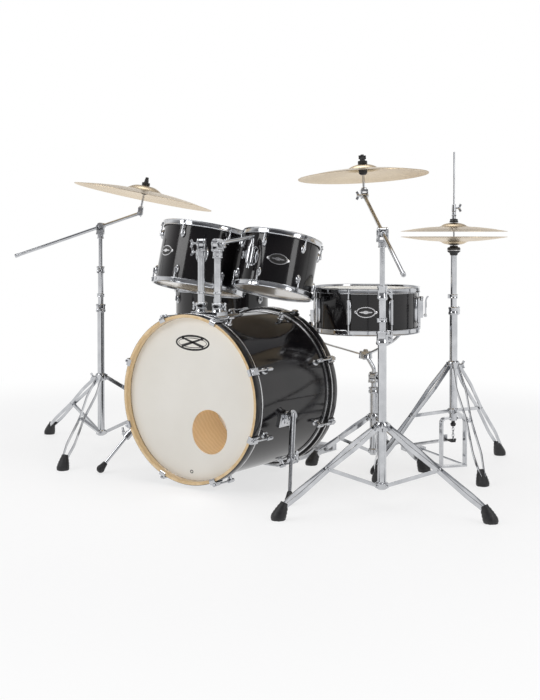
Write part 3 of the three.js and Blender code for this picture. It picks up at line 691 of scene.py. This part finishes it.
def floor_tom():
    t = FLOOR_TOM
    m, r, edge = basis(t["at"], UP, X), t["r"], t["depth"] / 2
    shell_skin("floor_tom_shell", "floor_tom", m, r, 6, edge)
    hardware = round_lugs(r, edge, 6, 0)
    for deg in t["legs"]:
        p = lambda q, z: polar((0, 0), q, deg, z)
        hardware += [
            oval(p(r, -45), heading(deg), UP, 42, 62, 5), slab(p(r + 8, -45), (16, 26, 44), heading(deg)),
            rod(p(t["leg"], -67), p(t["leg"], -23), 12, sides=32),
            *wing(p(r + 27, -45), heading(deg), 13),
        ]
    piece("floor_tom_lugs", "floor_tom", hardware, m)
    badge("floor_tom_badge", "floor_tom", m, r, -100, 0)
    for which, s in (("batter", 1), ("resonant", -1)):
        steel_hoop(f"floor_tom_{which}_hoop", "floor_tom", m, r, edge, 6, 0, s, edge - 34)
    drum_head("floor_tom_batter_head", "floor_tom", "film", m, r, edge, 1)
    drum_head("floor_tom_resonant_head", "floor_tom", "clear", m, r, edge, -1)
    for i, deg in enumerate(t["legs"]):
        p = lambda z: polar(t["at"], t["leg"], deg, z)
        foot = [(0, 0), (13, 0), (15, 3), (15, 12), (13.4, 15), (14, 20), (12, 24), (12.4, 29), (10, 34),
                (9.4, 45), (0, 46)]
        shapes = [rod(p(30), p(470), 5, sides=24),
                  lathe(foot, "rubber", 40).on(Matrix.Translation(p(0)))]
        for z in range(300, 466, 7):
            shapes.append(rod(p(z), p(z + 2.6), 5.35, sides=20))
        name = f"floor_tom_leg_{i + 1}"
        piece(name, "kit", shapes, None, [name], 0)


def snare_drum():
    t = SNARE
    m, r, edge = basis(t["at"], UP, heading(t["side"])), t["r"], t["depth"] / 2
    shell_skin("snare_shell", "snare", m, r, 5, edge)
    hardware = []
    for i in range(8):
        deg = 22.5 + 45 * i
        p = lambda q, z: polar((0, 0), q, deg, z)
        hardware += [oval(p(r, 0), heading(deg), UP, 17, 84, 8), rod(p(r + 10, -42), p(r + 10, 42), 4.8, sides=20)]
        hardware += [rod(p(r + 10, s * 42), p(r + 10, s * 45), 4, 3.2, sides=20) for s in (-1, 1)]
    hardware += [
        oval((r, 0, 0), X, UP, 36, 70, 4), slab((r + 9, 0, 0), (20, 26, 60)), slab((r + 17, 0, 4), (6, 20, 40)),
        rod((r + 14, 0, 26), (r + 14, 0, 44), 7, sides=12), rod((r + 14, 0, 36), (r + 14, 0, 42), 8, sides=20),
        slab((-r - 6, 0, -22), (16, 28, 38)), oval((-r, 0, -22), -X, UP, 34, 48, 4),
        slab((-r - 8, 0, -48), (5, 24, 22)), slab((r + 8, 0, -48), (5, 24, 40)),
    ]
    for s in (-1, 1):
        hardware += [rod((-r - 14, s * 7, -22), (-r - 17, s * 7, -22), 3, sides=6)]
    piece("snare_lugs", "snare", hardware, m)
    facing = m.inverted().to_3x3() @ heading(-59)
    badge("snare_badge", "snare", m, r, math.degrees(math.atan2(facing.y, facing.x)), 0)
    for which, s in (("batter", 1), ("resonant", -1)):
        steel_hoop(f"snare_{which}_hoop", "snare", m, r, edge, 8, 22.5, s, edge - 26)
    drum_head("snare_batter_head", "snare", "film", m, r, edge, 1)
    drum_head("snare_resonant_head", "snare", "clear", m, r, edge, -1)
    wires = []
    for k in range(-9, 10):
        x0 = r - 30
        wires.append(rod((-x0, k * 2.1, -edge - 2.6), (x0, k * 2.1, -edge - 2.6), 0.8, sides=8))
    for s in (-1, 1):
        wires.append(slab((s * (r - 28), 0, -edge - 2.8), (16, 44, 2.2)))
    piece("snare_wires", "snare", wires, m, (), 0)
    hinge = Vector((r + 28, 0, -22))
    lever = [
        rod(hinge - Y * 9, hinge + Y * 9, 6, sides=28), rod(hinge - Y * 10.5, hinge + Y * 10.5, 3, sides=6),
        sweep(smooth([hinge + X, hinge + Vector((1, 0, 22)), hinge + Vector((1.5, 0, 48)),
                      hinge + Vector((6, 0, 62)), hinge + Vector((11, 0, 66))], 6),
              [(-7, -2.4), (7, -2.4), (7, 2.4), (-7, 2.4)], Y),
        slab(hinge + Vector((3.4, 0, 40)), (2.4, 10, 26), look="rubber"),
    ]
    piece("snare_strainer_lever", "throw_off", lever, m, ["snare_strainer_lever"])


# ---- stands ----
def rubber_foot(base, lean_to):
    """A moulded foot that leans along its leg and is worn flat where it stands."""
    profile = [(0, -8), (14, -8), (19, -2), (21, 5), (21.2, 11), (20, 14), (20.3, 18), (18.2, 23),
               (18.4, 27), (15.6, 33), (15.8, 37), (12.8, 43), (11.4, 52), (0, 52)]
    foot = lathe(profile, "rubber", 40).on(basis(base, UP * 0.88 + lean_to * 0.47))
    foot.points = [Vector((p.x, p.y, max(p.z, 0))) for p in foot.points]
    return foot


def leg(at, deg, reach, shoulder, hub):
    out = heading(deg)
    side = UP.cross(out)
    p = lambda r, z, w=0: polar(at, r, deg, z) + side * w
    top, foot = p(18, shoulder), p(reach, 20)
    slope = (shoulder - 20) / (reach - 18)
    z = lambda r: shoulder - slope * (r - 18)
    knots = [(0, 9), (0.02, 9.6), (0.2, 15.3), (0.24, 15.5), (0.47, 8.6), (0.53, 8.6), (0.76, 13.5),
             (0.8, 13.5), (0.96, 6.8), (0.98, 6)]
    bar = [(-1.6, -6.5), (1.6, -6.5), (1.6, 6.5), (-1.6, 6.5)]
    shapes = []
    for s in (-1, 1):
        path = [top.lerp(foot, f) + side * s * w for f, w in knots]
        shapes.append(sweep(path, bar, side))
    mid = 18 + 0.5 * (reach - 18)
    shapes += [
        strap(p(16, hub), p(mid, z(mid)), 9, 11, side),
        rod(p(mid, z(mid), -12), p(mid, z(mid), 12), 4, sides=20),
        rod(p(mid, z(mid), -13.5), p(mid, z(mid), 13.5), 2.6, sides=6),
        rod(p(18, shoulder, -13), p(18, shoulder, 13), 4.4, sides=20),
        rod(p(18, hub, -8), p(18, hub, 8), 3.6, sides=16),
        slab(p(15, shoulder), (16, 16, 20), out), slab(p(14, hub), (12, 11, 14), out),
        rubber_foot(p(reach - 4, 0), -out),
    ]
    return shapes


def tripod(s, tube, bottom, ring, ring_r):
    m = Matrix.Translation(Vector((*s["at"], 0)))
    bore = tube - TUBE_WALL
    column = [(bore, bottom), (tube - 1, bottom), (tube, bottom + 1), (tube, ring[1] - 1), (tube - 1, ring[1]),
              (bore, ring[1])]
    hub, top = s["hub"], s["shoulder"]
    castings = [
        [(tube - 1, hub - 9), (17, hub - 9), (19, hub - 7), (19, hub + 6), (16, hub + 9), (tube - 1, hub + 9)],
        [(tube - 1, top - 12), (19, top - 12), (21, top - 9), (21, top + 8), (17, top + 14), (tube - 1, top + 14)],
    ]
    shapes = [lathe(column, sides=48, closed=True).on(m)]
    shapes += [lathe(c, sides=48, closed=True).on(m) for c in castings]
    z0, z1 = ring
    cup = [(tube - 1, z0), (ring_r - 2, z0), (ring_r, z0 + 3), (ring_r, z0 + 8), (ring_r - 1.6, z0 + 11),
           (ring_r - 1.6, z1 - 9), (ring_r, z1 - 6), (ring_r, z1 - 2), (ring_r - 2, z1), (tube - 1, z1)]
    shapes.append(lathe(cup, sides=48, closed=True).on(m))
    turn = s["legs"][0] + 60
    shapes += wing(polar(s["at"], 19, turn, top + 2), heading(turn))
    mid = (z0 + z1) / 2
    shapes.append(slab(polar(s["at"], ring_r, s["legs"][1], mid), (9, 12, min(22, z1 - z0 - 4)),
                       heading(s["legs"][1])))
    shapes += wing(polar(s["at"], ring_r - 2, s["legs"][1], mid), heading(s["legs"][1]))
    for deg in s["legs"]:
        shapes += leg(s["at"], deg, s["reach"], top, hub)
    return shapes


def snare_stand():
    s = SNARE_STAND
    piece("snare_stand_base", "kit", tripod(s, 14, 26, (240, 262), 19), None, ["snare_stand_base"])
    x, y = s["at"]
    pivot = Vector((x, y, 300))
    tube = [rod((x, y, 130), (x, y, 283), 10, sides=32), *fork(pivot, X, 14, 9, UP, 19),
            *wing((x + 13, y, 300), X), *collar(s["at"], 276, 284, 13.4, 200)]
    piece("snare_stand_tube", "snare_stand_tube", tube, None, ["snare_stand_tube"])
    plate = Vector((SNARE["at"][0], SNARE["at"][1], 375))
    neck = pivot + UP * 26
    basket = [
        rod(pivot - X * 9, pivot + X * 9, 13, sides=32),
        sweep(smooth([pivot, neck - UP * 4, neck + (plate - neck) * 0.2, plate], 5), circle(7.6), X),
        rod(plate - UP * 14, plate + UP * 12, 24, 21, sides=40), rod(plate - UP * 18, plate - UP * 14, 12, sides=6),
        rod(plate + UP * 12, plate + UP * 18, 9, 7, sides=28),
    ]
    for deg in (80, 200, 320):
        side = UP.cross(heading(deg))
        p = lambda r, z: polar(SNARE["at"], r, deg, z)
        arm = smooth([p(14, 375), p(80, 392), p(140, 408), p(178, 427), p(194, 440), p(196.6, 452)], 5)
        basket.append(sweep(arm, [(-6, -2.6), (6, -2.6), (6, 2.6), (-6, 2.6)], side))
        basket.append(rod(p(196.6, 434), p(196.6, 484), 6.2, 5.4, "rubber", 24))
        for z in range(440, 480, 6):
            basket.append(rod(p(196.6, z), p(196.6, z + 2.4), 6.9, 6.7, "rubber", 24))
    piece("snare_basket", "snare", basket, None, ["snare_basket"])


def cymbal(name, body, m, r, rise, s):
    """A hammered and lathed disc: bell, bow and thin edge, with a centre hole."""
    bell = r * 0.27 if r > 180 else 48
    line = [(5.5, rise), (bell * 0.3, rise - 0.9), (bell * 0.5, rise - 2.5), (bell * 0.72, rise * 0.80),
            (bell * 0.9, rise * 0.62), (bell, rise * 0.56), (bell * 1.1, rise * 0.535),
            (bell + (r - bell) * 0.25, rise * 0.475), (bell + (r - bell) * 0.45, rise * 0.38),
            (bell + (r - bell) * 0.65, rise * 0.265), (bell + (r - bell) * 0.85, rise * 0.115),
            (r - 1, 0.4), (r, 0.2)]
    fine = smooth([Vector((q, z, 0)) for q, z in line], 4)
    under = [(q.x, s * q.y) for q in fine]
    over = [(q.x, s * (q.y + 1.3)) for q in fine][::-1]
    piece(name, body, [lathe(under + over, "bronze", 144, True)], m, [name], 0)


def hihat():
    s, at = HIHAT, HIHAT["at"]
    k = heading(143)
    side = UP.cross(k)
    p = lambda r, w, z: polar(at, r, 143, z) + side * w
    shapes = tripod(s, 13.5, 160, (518, 545), 18)
    for w in (-1, 1):
        shapes += [
            sweep(smooth([p(0, w * 12, 168), p(0, w * 34, 167), p(0, w * 43, 158), p(0, w * 44, 140),
                          p(0, w * 44, 60), p(0, w * 44, 4)], 6),
                  [(-11, -3), (11, -3), (11, 3), (-11, 3)], k),
            sweep([p(0, w * 44, 5), p(330, w * 26, 5)], circle(3.6, 12), side),
            rod(p(0, w * 39, 158), p(0, w * 49, 158), 3, sides=6),
        ]
    shapes += [slab(p(0, 0, 5), (26, 94, 7), k), slab(p(322, 0, 7), (42, 82, 11), k, look="steel"),
               slab(p(322, 0, 1.6), (40, 80, 3), k, look="rubber")]
    piece("hihat_base", "kit", shapes, None, ["hihat_base"])

    toe, heel = p(46, 0, 84), p(286, 0, 27)
    d = (toe - heel).normalized()
    over = d.cross(side) if d.cross(side).z > 0 else -d.cross(side)
    board = [strap(heel, toe, 68, 5, side, "steel"), slab(p(60, 0, 92), (6, 14, 18), k, look="steel")]
    for i in range(9):
        c = heel.lerp(toe, 0.14 + i * 0.09) + over * 3
        board.append(slab(c, (56 - 3 * abs(i - 4), 2.2, 8), side, d, "rubber"))
    arm = [p(52, 0, 84), p(30, 0, 88), p(12, 0, 88), p(-4, 0, 88)]
    board += [sweep(smooth(arm, 4), [(-8, -3), (8, -3), (8, 3), (-8, 3)], side, "rubber"),
              rod(p(0, -9, 92), p(0, 9, 92), 5, look="rubber")]
    for i in range(5):
        turn = heading(143 + 90 * (i % 2)) * 3.6
        link = [p(0, 0, 98 + 10.5 * i) + turn * math.cos(t) + UP * 7 * math.sin(t)
                for t in [2 * math.pi * n / 12 for n in range(13)]]
        board.append(sweep(link, circle(1.4, 8), heading(53 + 90 * (i % 2))))
    board += [rod(p(0, 0, 140), p(0, 0, 157), 8, 6, "rubber", 24), rod(p(0, 0, 144), p(0, 0, 150), 9.4, look="rubber")]
    # The yoke's two plates let the pull rod pass between them as the pedal tips.
    board += [slab(p(0, w * 4.4, 163), (4, 1.4, 24), k) for w in (-1, 1)]
    for i in (-1, 1):
        board.append(strap(heel + side * i * 32.5 + over * 2, toe + side * i * 32.5 + over * 2, 3, 5, side, "steel"))
    piece("hihat_pedal", "hihat_pedal", board, None, ["hihat_pedal"])

    m = Matrix.Translation(Vector((*at, 0)))
    tube = [lathe([(8, 400), (10, 400), (10.5, 401), (10.5, 722), (8, 722)], sides=48, closed=True).on(m),
            lathe([(4, 718), (12, 720), (14, 727), (21, 732), (22, 734), (22, 744), (19, 747), (14, 748), (13, 753),
                   (4, 753.4)], "rubber", 48, True).on(m),
            lathe([(21.6, 735.6), (22.4, 736), (22.4, 738), (21.6, 738.4)], "silver", 48, True).on(m),
            *collar(at, 574, 588, 13.4, 200)]
    piece("hihat_tube", "hihat_tube", tube, None, ["hihat_tube"])
    top = 829
    q = lambda z: Vector((*at, z))
    clutch = [
        rod(q(178), q(1069), 3, sides=20), rod(q(top - 12), q(top - 1.4), 9.8, 9, "felt", 28),
        rod(q(top + 2), q(top + 8), 15, 14.6, "felt", 36), rod(q(top + 8.4), q(top + 14), 14, 12.6, "rubber", 36),
        rod(q(top + 14), q(868), 7, sides=28), rod(q(868), q(892), 8.2, 7, sides=28),
        rod(q(852), q(857), 9, sides=6), *wing((at[0] + 5, at[1], 880), heading(20), 15),
    ]
    piece("hihat_rod", "hihat_rod", clutch, None, ["hihat_rod"])
    rim = lambda z: Matrix.Translation(Vector((*at, z)))
    cymbal("hihat_bottom_cymbal", "hihat_tube", rim(783), 178, 27.5, -1)
    cymbal("hihat_top_cymbal", "hihat_rod", rim(800), 178, 29, 1)


def boom_stand(name, s):
    at = s["at"]
    piece(f"{name}_base", "kit", tripod(s, 12.7, s["hub"] - 12, s["lower"], 18), None, [f"{name}_base"])
    m = Matrix.Translation(Vector((*at, 0)))
    low, high = s["upper"]
    mid = [(7.8, s["lower"][0] - 120), (10, s["lower"][0] - 120), (10, low), (13, low), (15, low + 3),
           (15, low + 8), (13.6, low + 11), (13.6, high - 8), (15, high - 5), (15, high - 1), (13, high),
           (7.8, high)]
    turn = heading(s["legs"][1])
    tube = [lathe(mid, sides=48, closed=True).on(m), *wing(polar(at, 13, s["legs"][1], (low + high) / 2), turn),
            *collar(at, s["lower"][1] + 26, s["lower"][1] + 38, 13, s["legs"][0])]
    piece(f"{name}_mid_tube", f"{name}_mid_tube", tube, None, [f"{name}_mid_tube"])

    pivot = Vector((*at, s["pivot"]))
    end = Vector(s["high"])
    d = (end - pivot).normalized()
    flat = Vector((d.x, d.y, 0)).normalized()
    h = UP.cross(flat)
    q = lambda z: Vector((*at, z))
    top = [rod(q(low - 130), q(s["pivot"] - 22), 7.5, sides=32), rod(q(s["pivot"] - 44), q(s["pivot"] - 40), 13, sides=40),
           rod(q(s["pivot"] - 40), q(s["pivot"] - 29), 11.6, sides=40), rod(q(s["pivot"] - 29), q(s["pivot"] - 24), 13, sides=40),
           *fork(pivot, h, 15, 10, UP, 25)]
    piece(f"{name}_top_tube", f"{name}_top_tube", top, None, [f"{name}_top_tube"])
    lower = Vector(s["low"])
    boom = [
        rod(pivot - h * 10, pivot + h * 10, 14, sides=40), rod(pivot - h * 9, pivot + h * 9, 14.5, sides=14),
        rod(lower, end, 6, sides=28), rod(lower - d * 0, lower + d * 16, 7, 7, sides=28),
        rod(pivot - d * 16, pivot + d * 18, 9, sides=28), rod(end - h * 6, end + h * 6, 9, sides=32),
    ]
    piece(f"{name}_boom", f"{name}_boom", boom, None, [f"{name}_boom"])

    n = Vector(s["normal"]).normalized()
    c, rise = end + n * 59, s["rise"]
    post = lambda a, b, r, r2=None, look="chrome", sides=32: rod(c + n * a, c + n * b, r, r2, look, sides)
    tilter = [
        *fork(end, h, 10, 6, -n, 16), post(-42, rise + 31, 4, sides=16), post(-44, -34, 9),
        post(rise - 31, rise - 26, 9, 13, "rubber"), post(rise - 26, rise - 13, 13.4, 13.8, "rubber"),
        post(rise - 13, rise - 1.8, 13.8, 13, "felt"),
        post(rise + 1.9, rise + 13, 15, 14.6, "felt", 40), post(rise + 13.2, rise + 26, 8.4, 7, "rubber"),
        post(rise + 26, rise + 33, 6.8, 5.6, "rubber", 8), *wing(end + h * 9, h, 12),
    ]
    across = h
    for k in (-1, 1):
        tilter.append(slab(c + n * (rise + 24) + across * k * 7, (9, 4.4, 12), across, n, "rubber"))
    piece(f"{name}_tilter", f"{name}_tilter", tilter, None, [f"{name}_tilter"])
    cymbal(f"{name}_cymbal", f"{name}_cymbal", basis(c, n, X), s["r"], rise, 1)


# ---- bass drum pedal ----
def bass_pedal():
    x, y, z = PEDAL["axle"]
    base = [slab((0, 392, 3), (80, 374, 5.6), look="steel"), slab((0, 566, 14), (80, 26, 19), look="steel"),
            slab((0, 392, 1), (76, 366, 2), look="rubber")]
    for s in (-1, 1):
        post = [Vector((s * 38, y + 4, 4)), Vector((s * 38, y + 2, 80)), Vector((s * 38, y, 150)), Vector((s * 38, y, 205))]
        base += [sweep(smooth(post, 6), [(-4, -11), (4, -11), (4, 11), (-4, 11)], X, "steel"),
                 rod((s * 33.8, y, z), (s * 42, y, z), 13, sides=36, look="steel"),
                 rod((s * 41, y, z), (s * 43.5, y, z), 5, sides=6),
                 rod((s * 30, 566, 24), (s * 40, 566, 24), 5, sides=20)]
    base.append(rod((-34, y + 30, 10), (-34, y + 30, 26), 4, sides=20))
    piece("pedal_base", "kit", base, None, ["pedal_base"])
    heel, toe = Vector((0, 534, 27)), Vector((0, 286, 72))
    d = (toe - heel).normalized()
    over = X.cross(d) if X.cross(d).z > 0 else -X.cross(d)
    board = [strap(heel, toe, 60, 4.6, X, "steel"), slab((0, 292, 80), (14, 6, 16), look="steel")]
    for i in range(10):
        c = heel.lerp(toe, 0.1 + 0.086 * i) + over * 2.8
        board.append(slab(c, (50 - 2 * abs(i - 5), 2, 8), X, d, "rubber"))
    for s in (-1, 1):
        board.append(strap(heel + X * s * 29 + over * 2, toe + X * s * 29 + over * 2, 3, 5, X, "steel"))
    piece("pedal_footboard", "pedal_footboard", board, None, ["pedal_footboard"])
    a, b = math.radians(PEDAL["back"]), math.radians(PEDAL["swing"])
    axle = Vector((0, y, z))
    tip = axle + Vector((0, math.sin(a), math.cos(a))) * PEDAL["shaft"]
    strike = Vector((0, -math.cos(b), math.sin(b)))
    beater = [
        rod((-33.5, y, z), (33.5, y, z), 7, sides=12, look="steel"), rod((-5, y, z), (5, y, z), 20, sides=40, look="steel"),
        rod((-6.5, y, z), (-4.5, y, z), 21, sides=40), rod((4.5, y, z), (6.5, y, z), 21, sides=40),
        rod(axle, tip, 4, sides=20), rod(tip - strike * 22, tip + strike * 22, 20, 22, "beater_felt", 40),
        rod(tip - strike * 23, tip - strike * 19, 9, sides=24),
    ]
    for i in range(24):
        t = 2 * math.pi * i / 24
        beater.append(slab(axle + Vector((0, math.cos(t), math.sin(t))) * 20.5, (7, 2.2, 3), X,
                           Vector((0, math.cos(t), math.sin(t)))))
    piece("pedal_beater", "pedal_beater", beater, None, ["pedal_beater"])


bass_drum()
tom_bracket()
spur("spur_right", 1)
spur("spur_left", -1)
for tom_name, tom in TOMS.items():
    mounted_tom(tom_name, tom)
floor_tom()
snare_drum()
snare_stand()
hihat()
for stand_name, stand in BOOMS.items():
    boom_stand(stand_name, stand)
bass_pedal()


# ---- studio ----
FORWARD = (-0.5821, 0.8131, 0)


def studio():
    world = bpy.data.worlds.new("studio")
    bpy.context.scene.world = world
    world.use_nodes = True
    tree = world.node_tree
    ray = tree.nodes.new("ShaderNodeTexCoord").outputs["Generated"]
    split = tree.nodes.new("ShaderNodeSeparateXYZ")
    tree.links.new(ray, split.inputs[0])
    rise = ramp(tree, split.outputs["Z"], [(0.0, (1, 1, 1)), (0.26, (1, 1, 1)), (0.45, (0.22, 0.22, 0.23)),
                                           (0.75, (0.6, 0.6, 0.61))])
    wall = tree.nodes.new("ShaderNodeVectorMath")
    wall.operation = "DOT_PRODUCT"
    wall.inputs[1].default_value = FORWARD
    tree.links.new(ray, wall.inputs[0])
    span = tree.nodes.new("ShaderNodeMapRange")
    span.inputs["From Min"].default_value = -0.45
    span.inputs["From Max"].default_value = 0.35
    tree.links.new(wall.outputs["Value"], span.inputs["Value"])
    side = ramp(tree, span.outputs["Result"], [(0.0, (0.24, 0.24, 0.25)), (1.0, (1, 1, 1))])
    both = tree.nodes.new("ShaderNodeMix")
    both.data_type = "RGBA"
    both.blend_type = "MULTIPLY"
    both.inputs["Factor"].default_value = 1
    tree.links.new(rise, both.inputs[6])
    tree.links.new(side, both.inputs[7])
    # Seen directly, the room is plain white on every side.
    plain = tree.nodes.new("ShaderNodeMix")
    plain.data_type = "RGBA"
    plain.inputs[7].default_value = (1, 1, 1, 1)
    tree.links.new(tree.nodes.new("ShaderNodeLightPath").outputs["Is Camera Ray"], plain.inputs["Factor"])
    tree.links.new(both.outputs[2], plain.inputs[6])
    tree.links.new(plain.outputs[2], tree.nodes["Background"].inputs["Color"])
    tree.nodes["Background"].inputs["Strength"].default_value = 1.0

    floor = bpy.data.materials.new("floor")
    floor.use_nodes = True
    tree = floor.node_tree
    shader = tree.nodes["Principled BSDF"]
    shader.inputs["Base Color"].default_value = (0.92, 0.92, 0.925, 1)
    shader.inputs["Roughness"].default_value = 0.5
    shader.inputs["Specular IOR Level"].default_value = 0.25
    away = tree.nodes.new("ShaderNodeVectorMath")
    away.operation = "LENGTH"
    tree.links.new(tree.nodes.new("ShaderNodeTexCoord").outputs["Object"], away.inputs[0])
    fade = tree.nodes.new("ShaderNodeMapRange")
    fade.interpolation_type = "SMOOTHSTEP"
    fade.inputs["From Min"].default_value = 1.3
    fade.inputs["From Max"].default_value = 2.6
    fade.inputs["To Min"].default_value = 0.7
    tree.links.new(away.outputs["Value"], fade.inputs["Value"])
    glow = tree.nodes.new("ShaderNodeEmission")
    mix = tree.nodes.new("ShaderNodeMixShader")
    tree.links.new(fade.outputs["Result"], mix.inputs["Fac"])
    tree.links.new(shader.outputs[0], mix.inputs[1])
    tree.links.new(glow.outputs[0], mix.inputs[2])
    tree.links.new(mix.outputs[0], tree.nodes["Material Output"].inputs["Surface"])
    mesh = bpy.data.meshes.new("floor")
    size = 40
    mesh.from_pydata([(-size, -size, 0), (size, -size, 0), (size, size, 0), (-size, size, 0)], [], [(0, 1, 2, 3)])
    mesh.materials.append(floor)
    obj = bpy.data.objects.new("floor", mesh)
    bpy.context.scene.collection.objects.link(obj)
    obj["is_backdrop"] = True

    def softbox(name, at, target, size_x, size_y, watts):
        light = bpy.data.lights.new(name, "AREA")
        light.shape = "RECTANGLE"
        light.size, light.size_y, light.energy = size_x, size_y, watts
        obj = bpy.data.objects.new(name, light)
        obj.location = at
        obj.rotation_euler = (Vector(target) - Vector(at)).to_track_quat("-Z", "Y").to_euler()
        bpy.context.scene.collection.objects.link(obj)
    softbox("key", (-1.6, -3.4, 2.6), (0, 0, 0.4), 2.2, 1.6, 52)
    softbox("fill", (3.4, -0.6, 1.9), (0, 0, 0.5), 1.0, 2.4, 30)
    softbox("top", (0, 0.2, 3.4), (0, 0, 0), 3.2, 2.4, 48)
    inside = Vector((-0.02, 0.06, 0.46)) + ORIGIN
    softbox("through_the_head", inside, inside + Vector((0.1, -0.1, -0.4)), 0.2, 0.2, 1.1)


def camera():
    data = bpy.data.cameras.new("camera")
    data.lens = 59.1
    data.shift_y = -0.129
    obj = bpy.data.objects.new("camera", data)
    obj.location = (2.3384, -3.2026, 0.8)
    tilt = math.radians(1.4)
    look = Vector(FORWARD) * math.cos(tilt) - UP * math.sin(tilt)
    obj.rotation_euler = look.to_track_quat("-Z", "Y").to_euler()
    bpy.context.scene.collection.objects.link(obj)
    bpy.context.scene.camera = obj


studio()
camera()
bpy.context.scene.view_settings.view_transform = "Standard"

visual_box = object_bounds()
{"cad": [list(p) for p in cad_box], "visual": [list(p) for p in visual_box]}
